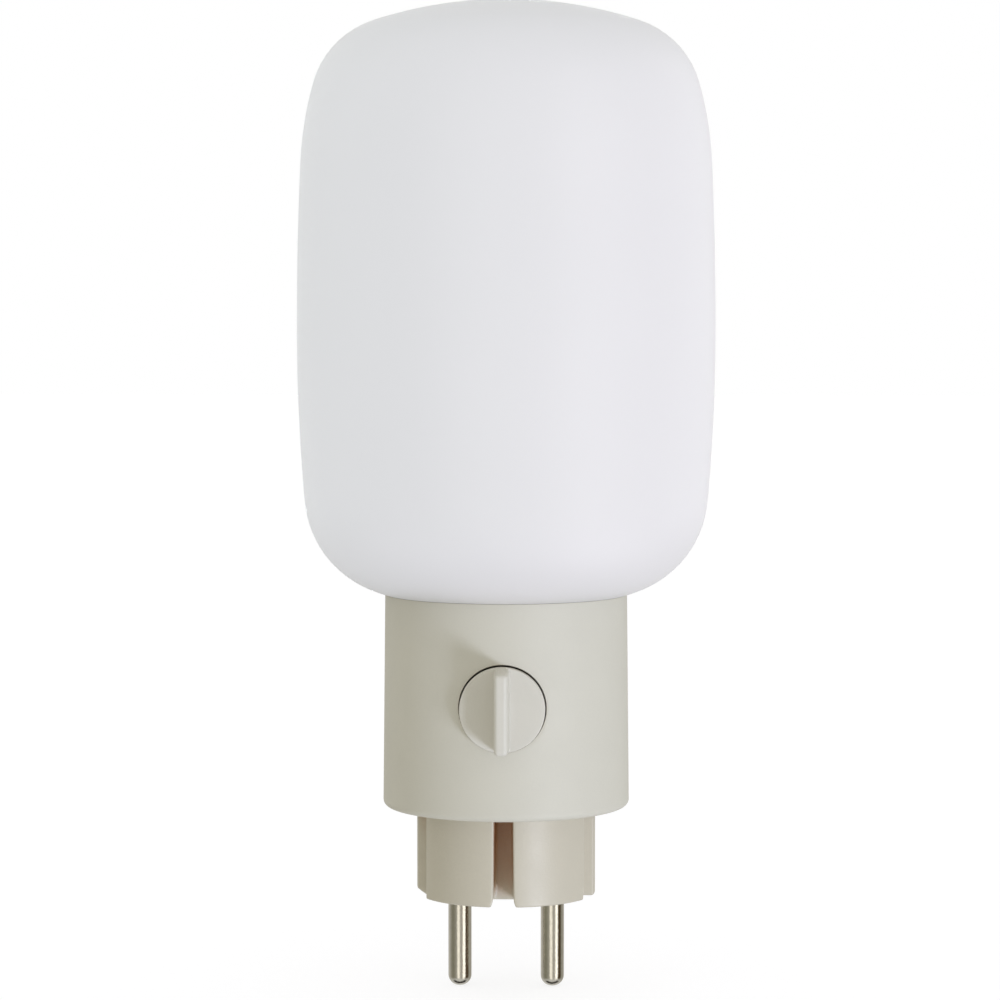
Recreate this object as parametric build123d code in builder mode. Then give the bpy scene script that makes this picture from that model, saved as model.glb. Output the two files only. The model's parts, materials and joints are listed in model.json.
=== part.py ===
from build123d import *
from math import acos, cos, degrees, radians, sin, sqrt
import os

# Plug-in lamp: an opal glass diffuser on a round plastic housing with a rotary dimmer knob,
# on a mains plug with two round pins. Millimetres, +Z up, the pins point down, the knob faces -Y.
# The origin is on the plug's contact face, midway between the pins.

# Mains plug
pin_spacing = 19.0
pin_radius = 2.4
pin_length = 19.3
pin_tip_radius = 2.2
pin_seat_depth = 0.3
pin_shank_radius = 2.0
pin_collar_radius = 3.3
pin_collar_height = 2.5
pin_tail_radius = 1.5
pin_tail_length = 4.6
plug_radius = 18.25
plug_height = 18.2
plug_flat_width = 31.8
plug_key_width = 7.4
plug_slot_width = 3.8
plug_slot_floor = 9.1
plug_edge_radius = 0.4
plug_wall = 2.3
plug_floor = 3.2
pin_boss_radius = 4.6
plug_screw_x = 8.0
plug_screw_y = 11.0
plug_screw_radius = 1.5
plug_screw_depth = 10.0
plug_screw_boss_radius = 2.9
plug_screw_head_radius = 2.8
plug_screw_head_height = 2.0
screw_head_edge_radius = 0.4
screw_slot_width = 0.8
screw_slot_depth = 1.0

# Housing
housing_height = 43.2
housing_top_radius = 24.7
housing_flare_width = 0.45
housing_wall = 2.2
housing_floor = 2.4
housing_edge_radius = 1.3
housing_inner_edge_radius = 0.8
carrier_boss_radius = 2.9
carrier_boss_overlap = 0.3
carrier_boss_angles = (90, 210, 330)
carrier_screw_radius = 1.1
carrier_screw_depth = 10.0
carrier_screw_head_radius = 2.15
countersink_taper = 45.0

# Rotary knob
knob_drop = 9.5
knob_radius = 8.5
knob_proud = 1.0
knob_thickness = 4.0
knob_edge_radius = 0.3
blade_length = 15.8
blade_width = 3.0
blade_reach = 8.6
blade_draft = 1.2
blade_edge_radius = 0.45
knob_stem_radius = 4.4
shaft_radius = 3.0
shaft_flat = 1.5
shaft_end_gap = 0.3

# Potentiometer behind the knob
pot_face = 12.3
pot_case_radius = 8.0
pot_case_wall = 0.8
pot_case_depth = 6.3
pot_bushing_radius = 3.5
pot_bushing_length = 5.0
pot_bushing_flange_radius = 4.6
pot_bushing_flange = 0.5
pot_nut_width = 10.0
pot_nut_thickness = 2.0
pot_washer_radius = 5.4
pot_washer_thickness = 0.5
rotor_radius = 6.4
rotor_thickness = 2.0
rotor_spigot_radius = 1.98
rotor_gap = 0.4
wiper_thickness = 0.3
wiper_inner_radius = 3.2
wiper_outer_radius = 5.8
wiper_finger_radius = 4.9
wiper_finger_width = 1.4
wiper_finger_thickness = 0.5
track_thickness = 1.3
track_tongue_width = 14.0
track_tongue_reach = 10.8
terminal_drop = 9.5
terminal_pitch = 5.0
terminal_width = 0.9
terminal_thickness = 0.6
terminal_stand_out = 0.5

# Dimmer board and what it carries
board_gap = 0.7
board_thickness = 1.6
board_width = 32.0
board_top_gap = 0.7
board_drop = 12.2
board_corner_radius = 1.0
board_screw_x = 9.8
board_screw_z = 6.5
board_screw_radius = 0.95
board_screw_depth = 6.0
board_screw_head_radius = 1.9
board_screw_head_height = 1.3
board_slot_width = 0.5
board_slot_depth = 0.7
board_post_radius = 2.0
capacitor_size = (9.5, 12.0, 7.4)
capacitor_place = (-10.75, -1.7)
capacitor_edge_radius = 0.5
choke_place = (10.5, 1.8)
choke_flange_radius = 4.4
choke_flange_thickness = 1.2
choke_core_radius = 2.0
choke_height = 10.0
choke_winding_radius = 3.9
fuse_place = (0.0, -4.4)
fuse_radius = 4.2
fuse_height = 7.5
triac_place = (0.0, 3.0)
triac_radius = 2.3
triac_flat = 1.4
triac_length = 4.6
triac_stand_off = 1.6
triac_leg_pitch = 1.3
resistor_places = ((5.8, -8.0), (13.7, -8.0))
resistor_radius = 1.0
resistor_length = 4.4
diac_place = (0.0, 6.8)
diac_radius = 0.9
diac_length = 3.4
leg_radius = 0.3
leg_bend_radius = 0.6
leg_overhang = 0.9
component_lift = 0.4

# Carrier that closes the housing and holds the lampholder, the glass and the dimmer
carrier_thickness = 2.4
carrier_web_width = 24.0
carrier_web_thickness = 1.6
carrier_web_drop = 10.2
collar_height = 7.0
collar_wall = 2.8
holder_pad_height = 3.0
holder_pad_radius = 2.9
holder_screw_radius = 1.4
holder_screw_head_radius = 2.5
holder_screw_head_height = 1.8
seat_gasket_thickness = 1.2
grip_ring_radius = 0.9
grip_ring_height = 4.4
grip_ring_side_gap = 0.1

# Lampholder and bulb with two looped pins 9 mm apart
bulb_pin_pitch = 9.0
holder_width = 17.0
holder_depth = 13.0
holder_height = 21.1
holder_corner_radius = 3.0
holder_recess_corner_radius = 1.2
holder_ear_thickness = 3.0
bulb_tongue_width = 12.8
bulb_tongue_depth = 5.6
bulb_tongue_length = 8.0
bulb_collar_radius = 8.4
bulb_collar_height = 6.0
bulb_collar_edge_radius = 0.6
bulb_cover_radius = 7.8
bulb_cover_length = 32.0
bulb_cover_wall = 0.8
bulb_loop_width = 2.6
bulb_loop_length = 7.0
bulb_wire_radius = 0.45
bulb_loop_bend_radius = 1.1
led_board_width = 9.0
led_board_length = 26.0
led_board_thickness = 1.0
led_chip_size = (2.2, 2.2, 0.6)
led_chip_rows = 6
contact_pocket_width = 4.8
contact_pocket_depth = 4.6
contact_pocket_height = 9.4
contact_leaf_thickness = 0.4
contact_leaf_width = 3.4
contact_leaf_height = 7.6
contact_tail_width = 1.6
contact_tail_reach = 1.4

# Wires
mains_lead_radius = 0.9
mains_lead_entry = 2.5
lamp_lead_radius = 0.7
lamp_lead_rise = 4.4
lead_bend_radius = 1.2
ferrule_wall = 0.5
ferrule_length = 4.0

# Glass diffuser, a chain of arcs from the belly ring up to the crown and down to the neck
glass_radius = 42.5
glass_wall = 2.6
flank_radius = 740.0
flank_turn = 2.7
haunch_radius = 70.8
haunch_turn = 16.0
shoulder_radius = 18.0
shoulder_turn = 71.7
lower_flank_radius = 389.0
lower_flank_turn = 5.0
lower_shoulder_radius = 21.1
lower_shoulder_turn = 72.2
neck_side_gap = 2.0
neck_depth = 7.6
neck_root_radius = 1.2
neck_mouth_radius = 2.0

# Clearances
rim_gap = 0.2
knob_side_gap = 0.2
knob_shaft_gap = 0.05
running_gap = 0.05
slip_gap = 0.2
screw_gap = 0.05
insert_gap = 0.3
grip_gap = 0.05

# Places worked out from the sizes
pin_x = pin_spacing / 2
housing_bottom = plug_height
housing_floor_top = housing_bottom + housing_floor
housing_top = housing_bottom + housing_height
housing_bottom_radius = housing_top_radius + housing_flare_width
housing_inner_radius = housing_top_radius - housing_wall
tail_top = housing_bottom + pin_tail_length
neck_radius = housing_inner_radius - neck_side_gap
neck_inner_radius = neck_radius - glass_wall
neck_end = housing_top - neck_depth
carrier_top = neck_end - seat_gasket_thickness
carrier_bottom = carrier_top - carrier_thickness
collar_radius = neck_inner_radius - slip_gap * 2
collar_inner_radius = collar_radius - collar_wall
grip_ring_centre = carrier_top + grip_ring_height
carrier_screw_circle = housing_inner_radius - carrier_boss_radius + carrier_boss_overlap
knob_axis = carrier_bottom - knob_drop
knob_hole_radius = knob_radius + knob_side_gap
housing_front = housing_top_radius + housing_flare_width * (housing_top - knob_axis) / housing_height
knob_face = housing_front + knob_proud
knob_back = knob_face - knob_thickness
bushing_end = pot_face + pot_bushing_length
stem_end = bushing_end + insert_gap
shaft_end = knob_back - shaft_end_gap
case_inner_radius = pot_case_radius - pot_case_wall
case_back = pot_face - pot_case_depth
rotor_front = pot_face - pot_case_wall - pot_bushing_flange - rotor_gap
rotor_back = rotor_front - rotor_thickness
track_back = case_back - track_thickness
board_front = track_back - board_gap
board_back = board_front - board_thickness
board_top = carrier_bottom - board_top_gap
board_bottom = knob_axis - board_drop
mains_lead_rise = board_bottom + mains_lead_entry - tail_top
holder_top = carrier_top + holder_height
holder_ear_bottom = carrier_top + holder_pad_height
holder_ear_top = holder_ear_bottom + holder_ear_thickness
holder_pad_y = holder_depth / 2 + holder_screw_head_radius + slip_gap
holder_recess_floor = holder_top - bulb_tongue_length - insert_gap
bulb_bottom = holder_top - bulb_tongue_length
bulb_shoulder = holder_top + rim_gap
cover_bottom = bulb_shoulder + bulb_collar_height
cover_top = cover_bottom + bulb_cover_length
cover_cylinder_top = cover_top - bulb_cover_radius
pocket_bottom = holder_recess_floor - contact_pocket_height
bulb_pin_x = bulb_pin_pitch / 2

pin_places = ((-pin_x, 0), (pin_x, 0))
plug_screw_places = ((-plug_screw_x, -plug_screw_y), (plug_screw_x, plug_screw_y))
carrier_screw_places = [
    (carrier_screw_circle * cos(radians(angle)), carrier_screw_circle * sin(radians(angle)))
    for angle in carrier_boss_angles
]
board_screw_places = (
    (-board_screw_x, knob_axis + board_screw_z),
    (board_screw_x, knob_axis - board_screw_z),
)
holder_pad_places = ((0, -holder_pad_y), (0, holder_pad_y))
bulb_pin_places = ((-bulb_pin_x, 0), (bulb_pin_x, 0))


def tangent_arcs(side, legs):
    """Arcs of the glass outside, each tangent to the last, from the belly ring to the axis.

    side is 1 towards the crown and -1 towards the neck. Each leg is an arc radius and the turn
    at which the arc ends, in degrees from level. Each result is the arc's centre, as a radius
    and a height from the belly ring, its radius, and its first and last turn.
    """
    arcs = []
    point_r, point_z, turn = glass_radius, 0.0, 0.0
    for radius, end_turn in legs:
        centre_r = point_r - radius * cos(radians(turn))
        centre_z = point_z - side * radius * sin(radians(turn))
        arcs.append((centre_r, centre_z, radius, turn, end_turn))
        point_r = centre_r + radius * cos(radians(end_turn))
        point_z = centre_z + side * radius * sin(radians(end_turn))
        turn = end_turn
    closing_radius = point_r / cos(radians(turn))
    closing_z = point_z - side * closing_radius * sin(radians(turn))
    arcs.append((0.0, closing_z, closing_radius, turn, 90.0))
    return arcs


crown_arcs = tangent_arcs(
    1, [(flank_radius, flank_turn), (haunch_radius, haunch_turn), (shoulder_radius, shoulder_turn)]
)
base_arcs = tangent_arcs(
    -1, [(lower_flank_radius, lower_flank_turn), (lower_shoulder_radius, lower_shoulder_turn)]
)
base_centre = base_arcs[-1][1]
base_radius = base_arcs[-1][2]


def underside(radius, inset=0.0):
    """Height of the glass base at a radius, from the belly ring, inset from its outside."""
    return base_centre - sqrt((base_radius - inset) ** 2 - radius**2)


belly_height = housing_top + rim_gap - underside(housing_top_radius)
rim_slope = underside(housing_top_radius) - underside(housing_inner_radius)


# Plug body, a round block with a flat and a key on each side and an earth clip slot front and rear
with BuildPart() as plug_body:
    with BuildSketch(Plane.XY):
        Circle(plug_radius)
        with Locations(
            *[
                (side * (plug_flat_width / 2 + plug_radius / 2), end * (plug_key_width / 2 + plug_radius / 2))
                for side in (-1, 1)
                for end in (-1, 1)
            ]
        ):
            Rectangle(plug_radius, plug_radius, mode=Mode.SUBTRACT)
        with Locations((0, -plug_slot_floor - plug_radius / 2), (0, plug_slot_floor + plug_radius / 2)):
            Rectangle(plug_slot_width, plug_radius, mode=Mode.SUBTRACT)
    extrude(amount=plug_height)
    fillet(plug_body.faces().sort_by(Axis.Z)[0].edges(), plug_edge_radius)
    with BuildSketch(Plane.XY.offset(plug_floor)):
        Circle(plug_radius - plug_wall)
        Rectangle(plug_flat_width - 2 * plug_wall, 2 * plug_radius, mode=Mode.INTERSECT)
        with Locations((0, -plug_radius), (0, plug_radius)):
            Rectangle(
                plug_slot_width + 2 * plug_wall,
                2 * (plug_radius - plug_slot_floor + plug_wall),
                mode=Mode.SUBTRACT,
            )
        with Locations(*pin_places):
            Circle(pin_boss_radius, mode=Mode.SUBTRACT)
        with Locations(*plug_screw_places):
            Circle(plug_screw_boss_radius, mode=Mode.SUBTRACT)
    extrude(amount=plug_height - plug_floor, mode=Mode.SUBTRACT)
    with BuildSketch(Plane.XY):
        with Locations(*pin_places):
            Circle(pin_radius + running_gap)
    extrude(amount=pin_seat_depth + running_gap, mode=Mode.SUBTRACT)
    with BuildSketch(Plane.XY):
        with Locations(*pin_places):
            Circle(pin_shank_radius + running_gap)
    extrude(amount=plug_height, mode=Mode.SUBTRACT)
    with BuildSketch(Plane.XY.offset(plug_height - pin_collar_height - running_gap)):
        with Locations(*pin_places):
            Circle(pin_collar_radius + running_gap)
    extrude(amount=plug_height, mode=Mode.SUBTRACT)
    with BuildSketch(Plane.XY.offset(plug_height)):
        with Locations(*plug_screw_places):
            Circle(plug_screw_radius + screw_gap)
    extrude(amount=-plug_screw_depth - screw_gap, mode=Mode.SUBTRACT)
plug_body.part.label = "plug_body"
export_step(plug_body.part, "parts/plug_body.step")


def contact_pin(x):
    """One mains pin: a round-nosed contact, a shank, a trapped collar and a tail, as one turning."""
    with BuildPart() as pin:
        with BuildSketch(Plane.XY.offset(-pin_length)):
            with Locations((x, 0)):
                Circle(pin_radius)
        extrude(amount=pin_length + pin_seat_depth)
        fillet(pin.faces().sort_by(Axis.Z)[0].edges(), pin_tip_radius)
        chamfer(pin.faces().sort_by(Axis.Z)[-1].edges(), pin_radius - pin_shank_radius)
        with BuildSketch(Plane.XY):
            with Locations((x, 0)):
                Circle(pin_shank_radius)
        extrude(amount=plug_height)
        with BuildSketch(Plane.XY.offset(plug_height - pin_collar_height)):
            with Locations((x, 0)):
                Circle(pin_collar_radius)
        extrude(amount=pin_collar_height)
        with BuildSketch(Plane.XY.offset(plug_height)):
            with Locations((x, 0)):
                Circle(pin_tail_radius)
        extrude(amount=pin_tail_length)
    return pin


# Contact pins, each trapped by its collar between the plug body and the housing floor
live_pin = contact_pin(-pin_x)
live_pin.part.label = "live_pin"
export_step(live_pin.part, "parts/live_pin.step")

neutral_pin = contact_pin(pin_x)
neutral_pin.part.label = "neutral_pin"
export_step(neutral_pin.part, "parts/neutral_pin.step")


# Housing, a tapered cup whose rim follows the glass, with a knob hole and three screw bosses
with BuildPart() as housing:
    with BuildSketch(Plane.XZ):
        with BuildLine():
            Polyline(
                (0, housing_bottom),
                (housing_bottom_radius, housing_bottom),
                (housing_top_radius, housing_top),
                (housing_inner_radius, housing_top - rim_slope),
                (housing_inner_radius, housing_floor_top),
                (0, housing_floor_top),
                close=True,
            )
        make_face()
    revolve(axis=Axis.Z)
    outer_edge = housing.edges().filter_by(GeomType.CIRCLE).group_by(Axis.Z)[0]
    fillet(outer_edge, housing_edge_radius)
    floor_edges = housing.edges().filter_by(GeomType.CIRCLE).filter_by_position(
        Axis.Z, housing_floor_top - running_gap, housing_floor_top + running_gap
    )
    fillet(floor_edges, housing_inner_edge_radius)
    with BuildSketch(Plane.XY.offset(housing_floor_top - housing_floor / 2)):
        with Locations(*carrier_screw_places):
            Circle(carrier_boss_radius)
    extrude(amount=carrier_bottom - housing_floor_top + housing_floor / 2)
    with BuildSketch(Plane.XY.offset(carrier_bottom)):
        with Locations(*carrier_screw_places):
            Circle(carrier_screw_radius + screw_gap)
    extrude(amount=-carrier_screw_depth, mode=Mode.SUBTRACT)
    with BuildSketch(Plane.XZ):
        with Locations((0, knob_axis)):
            Circle(knob_hole_radius)
    extrude(amount=knob_face, mode=Mode.SUBTRACT)
    with BuildSketch(Plane.XY.offset(housing_bottom)):
        with Locations(*pin_places):
            Circle(pin_tail_radius + slip_gap)
        with Locations(*plug_screw_places):
            Circle(plug_screw_radius + slip_gap)
    extrude(amount=housing_floor, mode=Mode.SUBTRACT)
housing.part.label = "housing"
export_step(housing.part, "parts/housing.step")


# Plug screws, driven from inside the housing into the plug body
with BuildPart() as plug_screws:
    with BuildSketch(Plane.XY.offset(housing_floor_top)):
        with Locations(*plug_screw_places):
            Circle(plug_screw_head_radius)
    extrude(amount=plug_screw_head_height)
    fillet(plug_screws.faces().group_by(Axis.Z)[-1].edges(), screw_head_edge_radius)
    with BuildSketch(Plane.XY.offset(housing_floor_top)):
        with Locations(*plug_screw_places):
            Circle(plug_screw_radius)
    extrude(amount=-plug_screw_depth - housing_floor)
    with BuildSketch(Plane.XY.offset(housing_floor_top + plug_screw_head_height)):
        with Locations(*plug_screw_places):
            Rectangle(2 * plug_screw_radius, screw_slot_width)
            Rectangle(screw_slot_width, 2 * plug_screw_radius)
    extrude(amount=-screw_slot_depth, mode=Mode.SUBTRACT)
plug_screws.part.label = "plug_screws"
export_step(plug_screws.part, "parts/plug_screws.step")


# Knob, a flat disc with an upright blade to grip and a bored stem for the shaft
with BuildPart() as knob:
    with BuildSketch(Plane.XZ.offset(knob_back)):
        with Locations((0, knob_axis)):
            Circle(knob_radius)
    extrude(amount=knob_thickness)
    fillet(knob.faces().sort_by(Axis.Y)[0].edges(), knob_edge_radius)
    with BuildSketch(Plane.XZ.offset(knob_face - knob_edge_radius)):
        with Locations((0, knob_axis)):
            RectangleRounded(blade_width, blade_length, blade_edge_radius)
    extrude(amount=blade_reach + knob_edge_radius, taper=blade_draft)
    fillet(knob.faces().sort_by(Axis.Y)[0].edges(), blade_edge_radius)
    with BuildSketch(Plane.XZ.offset(stem_end)):
        with Locations((0, knob_axis)):
            Circle(knob_stem_radius)
    extrude(amount=knob_back - stem_end)
    with BuildSketch(Plane.XZ.offset(stem_end)):
        with Locations((0, knob_axis)):
            Circle(shaft_radius + knob_shaft_gap)
        with Locations((0, knob_axis + shaft_flat + knob_shaft_gap + shaft_radius)):
            Rectangle(2 * knob_stem_radius, 2 * shaft_radius, mode=Mode.SUBTRACT)
    extrude(amount=knob_back - stem_end, mode=Mode.SUBTRACT)
knob.part.label = "knob"
export_step(knob.part, "parts/knob.step")

# Potentiometer shaft, flatted where the knob grips it and stepped down into the rotor
with BuildPart() as pot_shaft:
    with BuildSketch(Plane.XZ.offset(stem_end)):
        with Locations((0, knob_axis)):
            Circle(shaft_radius)
        with Locations((0, knob_axis + shaft_flat + shaft_radius)):
            Rectangle(2 * knob_stem_radius, 2 * shaft_radius, mode=Mode.SUBTRACT)
    extrude(amount=shaft_end - stem_end)
    with BuildSketch(Plane.XZ.offset(rotor_front)):
        with Locations((0, knob_axis)):
            Circle(shaft_radius)
    extrude(amount=stem_end - rotor_front)
    with BuildSketch(Plane.XZ.offset(rotor_back)):
        with Locations((0, knob_axis)):
            Circle(rotor_spigot_radius)
    extrude(amount=rotor_thickness)
pot_shaft.part.label = "pot_shaft"
export_step(pot_shaft.part, "parts/pot_shaft.step")

# Rotor, the insulating disc that the shaft turns inside the case
with BuildPart() as pot_rotor:
    with BuildSketch(Plane.XZ.offset(rotor_back)):
        with Locations((0, knob_axis)):
            Circle(rotor_radius)
            Circle(rotor_spigot_radius + knob_shaft_gap, mode=Mode.SUBTRACT)
    extrude(amount=rotor_thickness)
pot_rotor.part.label = "pot_rotor"
export_step(pot_rotor.part, "parts/pot_rotor.step")

# Wiper, a sprung bronze ring on the rotor with two fingers that reach for the track
with BuildPart() as wiper:
    with BuildSketch(Plane.XZ.offset(rotor_back - wiper_thickness)):
        with Locations((0, knob_axis)):
            Circle(wiper_outer_radius)
            Circle(wiper_inner_radius, mode=Mode.SUBTRACT)
    extrude(amount=wiper_thickness)
    with BuildSketch(Plane.XZ.offset(case_back + insert_gap)):
        with Locations((-wiper_finger_radius, knob_axis), (wiper_finger_radius, knob_axis)):
            Rectangle(wiper_finger_thickness, wiper_finger_width)
    extrude(amount=rotor_back - wiper_thickness - case_back - insert_gap)
wiper.part.label = "wiper"
export_step(wiper.part, "parts/wiper.step")

# Case of the potentiometer, a can open at the back
with BuildPart() as pot_case:
    with BuildSketch(Plane.XZ.offset(case_back)):
        with Locations((0, knob_axis)):
            Circle(pot_case_radius)
    extrude(amount=pot_case_depth)
    with BuildSketch(Plane.XZ.offset(case_back)):
        with Locations((0, knob_axis)):
            Circle(case_inner_radius)
    extrude(amount=pot_case_depth - pot_case_wall, mode=Mode.SUBTRACT)
    with BuildSketch(Plane.XZ.offset(case_back)):
        with Locations((0, knob_axis)):
            Circle(pot_bushing_radius + screw_gap)
    extrude(amount=pot_case_depth, mode=Mode.SUBTRACT)
pot_case.part.label = "pot_case"
export_step(pot_case.part, "parts/pot_case.step")

# Threaded bushing that the shaft turns in, with a flange inside the case
with BuildPart() as pot_bushing:
    with BuildSketch(Plane.XZ.offset(pot_face - pot_case_wall)):
        with Locations((0, knob_axis)):
            Circle(pot_bushing_radius)
    extrude(amount=pot_bushing_length + pot_case_wall)
    chamfer(pot_bushing.faces().sort_by(Axis.Y)[0].edges(), screw_head_edge_radius)
    with BuildSketch(Plane.XZ.offset(pot_face - pot_case_wall - pot_bushing_flange)):
        with Locations((0, knob_axis)):
            Circle(pot_bushing_flange_radius)
    extrude(amount=pot_bushing_flange)
    with BuildSketch(Plane.XZ.offset(rotor_front)):
        with Locations((0, knob_axis)):
            Circle(shaft_radius + running_gap)
    extrude(amount=bushing_end, mode=Mode.SUBTRACT)
pot_bushing.part.label = "pot_bushing"
export_step(pot_bushing.part, "parts/pot_bushing.step")

# Washer and nut that clamp the bushing to the carrier's web
web_front = pot_face + carrier_web_thickness
with BuildPart() as pot_washer:
    with BuildSketch(Plane.XZ.offset(web_front)):
        with Locations((0, knob_axis)):
            Circle(pot_washer_radius)
            Circle(pot_bushing_radius + screw_gap, mode=Mode.SUBTRACT)
    extrude(amount=pot_washer_thickness)
pot_washer.part.label = "pot_washer"
export_step(pot_washer.part, "parts/pot_washer.step")

with BuildPart() as pot_nut:
    with BuildSketch(Plane.XZ.offset(web_front + pot_washer_thickness)):
        with Locations((0, knob_axis)):
            RegularPolygon(pot_nut_width / 2, 6, major_radius=False)
            Circle(pot_bushing_radius + screw_gap, mode=Mode.SUBTRACT)
    extrude(amount=pot_nut_thickness)
pot_nut.part.label = "pot_nut"
export_step(pot_nut.part, "parts/pot_nut.step")

# Track, the resistive wafer that closes the case and carries the terminals on a tongue
with BuildPart() as pot_track:
    with BuildSketch(Plane.XZ.offset(track_back)):
        with Locations((0, knob_axis)):
            Circle(pot_case_radius)
        with Locations((0, knob_axis - track_tongue_reach / 2)):
            Rectangle(track_tongue_width, track_tongue_reach)
    extrude(amount=track_thickness)
pot_track.part.label = "pot_track"
export_step(pot_track.part, "parts/pot_track.step")

# Terminals that run from the track's tongue through the board
with BuildPart() as pot_terminals:
    with BuildSketch(Plane.XZ.offset(board_back - terminal_stand_out)):
        with Locations((0, knob_axis - terminal_drop)):
            with GridLocations(terminal_pitch, 0, 3, 1):
                Rectangle(terminal_width, terminal_thickness)
    extrude(amount=track_back - board_back + terminal_stand_out)
pot_terminals.part.label = "pot_terminals"
export_step(pot_terminals.part, "parts/pot_terminals.step")


# Carrier, the plate under the glass with a collar, the lampholder's pads and the dimmer's web
with BuildPart() as carrier:
    with BuildSketch(Plane.XY.offset(carrier_bottom)):
        Circle(housing_inner_radius - slip_gap)
    extrude(amount=carrier_thickness)
    with BuildSketch(Plane.XY.offset(carrier_top)):
        Circle(collar_radius)
        Circle(collar_inner_radius, mode=Mode.SUBTRACT)
    extrude(amount=collar_height)
    with BuildSketch(Plane.XY.offset(carrier_top)):
        with Locations(*holder_pad_places):
            Circle(holder_pad_radius)
        Circle(collar_inner_radius + collar_wall / 2, mode=Mode.INTERSECT)
    extrude(amount=holder_pad_height)
    with BuildSketch(Plane.XY.offset(grip_ring_centre - grip_ring_radius - grip_ring_side_gap)):
        Circle(housing_inner_radius)
        Circle(neck_inner_radius - grip_gap - 2 * grip_ring_radius - grip_gap, mode=Mode.SUBTRACT)
    extrude(amount=2 * (grip_ring_radius + grip_ring_side_gap), mode=Mode.SUBTRACT)
    with BuildSketch(Plane.XZ.offset(pot_face)):
        with Locations((0, carrier_bottom + carrier_thickness / 2)):
            Rectangle(
                carrier_web_width,
                carrier_bottom + carrier_thickness / 2 - knob_axis + carrier_web_drop,
                align=(Align.CENTER, Align.MAX),
            )
    extrude(amount=carrier_web_thickness)
    with BuildSketch(Plane.XZ.offset(board_front)):
        with Locations(*board_screw_places):
            Circle(board_post_radius)
    extrude(amount=pot_face + carrier_web_thickness / 2 - board_front)
    with BuildSketch(Plane.XZ.offset(board_front)):
        with Locations(*board_screw_places):
            Circle(board_screw_radius + screw_gap)
    extrude(amount=board_screw_depth + screw_gap, mode=Mode.SUBTRACT)
    with BuildSketch(Plane.XZ.offset(pot_face)):
        with Locations((0, knob_axis)):
            Circle(pot_bushing_radius + screw_gap)
    extrude(amount=carrier_web_thickness, mode=Mode.SUBTRACT)
    with BuildSketch(Plane.XY.offset(holder_ear_bottom)):
        with Locations(*holder_pad_places):
            Circle(holder_screw_radius + screw_gap)
    extrude(amount=-holder_pad_height - carrier_thickness, mode=Mode.SUBTRACT)
    with BuildSketch(Plane.XY.offset(carrier_top)):
        with Locations(*bulb_pin_places):
            Circle(contact_tail_width)
    extrude(amount=-carrier_thickness, mode=Mode.SUBTRACT)
    with Locations(*[(x, y, carrier_top) for x, y in carrier_screw_places]):
        CounterSinkHole(
            carrier_screw_radius + screw_gap, carrier_screw_head_radius + screw_gap, depth=carrier_thickness
        )
carrier.part.label = "carrier"
export_step(carrier.part, "parts/carrier.step")

# Countersunk screws that hold the carrier to the housing's bosses, flush with the plate
countersink_depth = carrier_screw_head_radius - carrier_screw_radius
with BuildPart() as carrier_screws:
    with BuildSketch(Plane.XY.offset(carrier_top)):
        with Locations(*carrier_screw_places):
            Circle(carrier_screw_head_radius)
    extrude(amount=-countersink_depth, taper=countersink_taper)
    with BuildSketch(Plane.XY.offset(carrier_top - countersink_depth / 2)):
        with Locations(*carrier_screw_places):
            Circle(carrier_screw_radius)
    extrude(amount=-carrier_thickness - carrier_screw_depth + countersink_depth / 2 + insert_gap)
carrier_screws.part.label = "carrier_screws"
export_step(carrier_screws.part, "parts/carrier_screws.step")

# Flat silicone ring that the glass neck stands on
with BuildPart() as seat_gasket:
    with BuildSketch(Plane.XY.offset(carrier_top)):
        Circle(neck_radius + slip_gap)
        Circle(collar_radius + slip_gap, mode=Mode.SUBTRACT)
    extrude(amount=seat_gasket_thickness)
seat_gasket.part.label = "seat_gasket"
export_step(seat_gasket.part, "parts/seat_gasket.step")

# Round silicone ring in the collar's groove that grips the glass neck from inside
with BuildPart() as grip_ring:
    with BuildSketch(Plane.XZ):
        with Locations((neck_inner_radius - grip_gap - grip_ring_radius, grip_ring_centre)):
            Circle(grip_ring_radius)
    revolve(axis=Axis.Z)
grip_ring.part.label = "grip_ring"
export_step(grip_ring.part, "parts/grip_ring.step")


# Dimmer board, upright behind the potentiometer
with BuildPart() as dimmer_board:
    with BuildSketch(Plane.XZ.offset(board_back)):
        with Locations((0, (board_top + board_bottom) / 2)):
            RectangleRounded(board_width, board_top - board_bottom, board_corner_radius)
        with Locations(*board_screw_places):
            Circle(board_screw_radius + slip_gap, mode=Mode.SUBTRACT)
        with Locations((0, knob_axis - terminal_drop)):
            with GridLocations(terminal_pitch, 0, 3, 1):
                Circle(terminal_width / 2 + slip_gap, mode=Mode.SUBTRACT)
    extrude(amount=board_thickness)
dimmer_board.part.label = "dimmer_board"
export_step(dimmer_board.part, "parts/dimmer_board.step")

# Screws that fix the board to the carrier's posts
with BuildPart() as board_screws:
    with BuildSketch(Plane.XZ.offset(board_back - board_screw_head_height)):
        with Locations(*board_screw_places):
            Circle(board_screw_head_radius)
    extrude(amount=board_screw_head_height)
    fillet(board_screws.faces().group_by(Axis.Y)[-1].edges(), screw_head_edge_radius)
    with BuildSketch(Plane.XZ.offset(board_back)):
        with Locations(*board_screw_places):
            Circle(board_screw_radius)
    extrude(amount=board_thickness + board_screw_depth)
    with BuildSketch(Plane.XZ.offset(board_back - board_screw_head_height)):
        with Locations(*board_screw_places):
            Rectangle(2 * board_screw_radius, board_slot_width)
            Rectangle(board_slot_width, 2 * board_screw_radius)
    extrude(amount=board_slot_depth, mode=Mode.SUBTRACT)
board_screws.part.label = "board_screws"
export_step(board_screws.part, "parts/board_screws.step")

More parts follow.
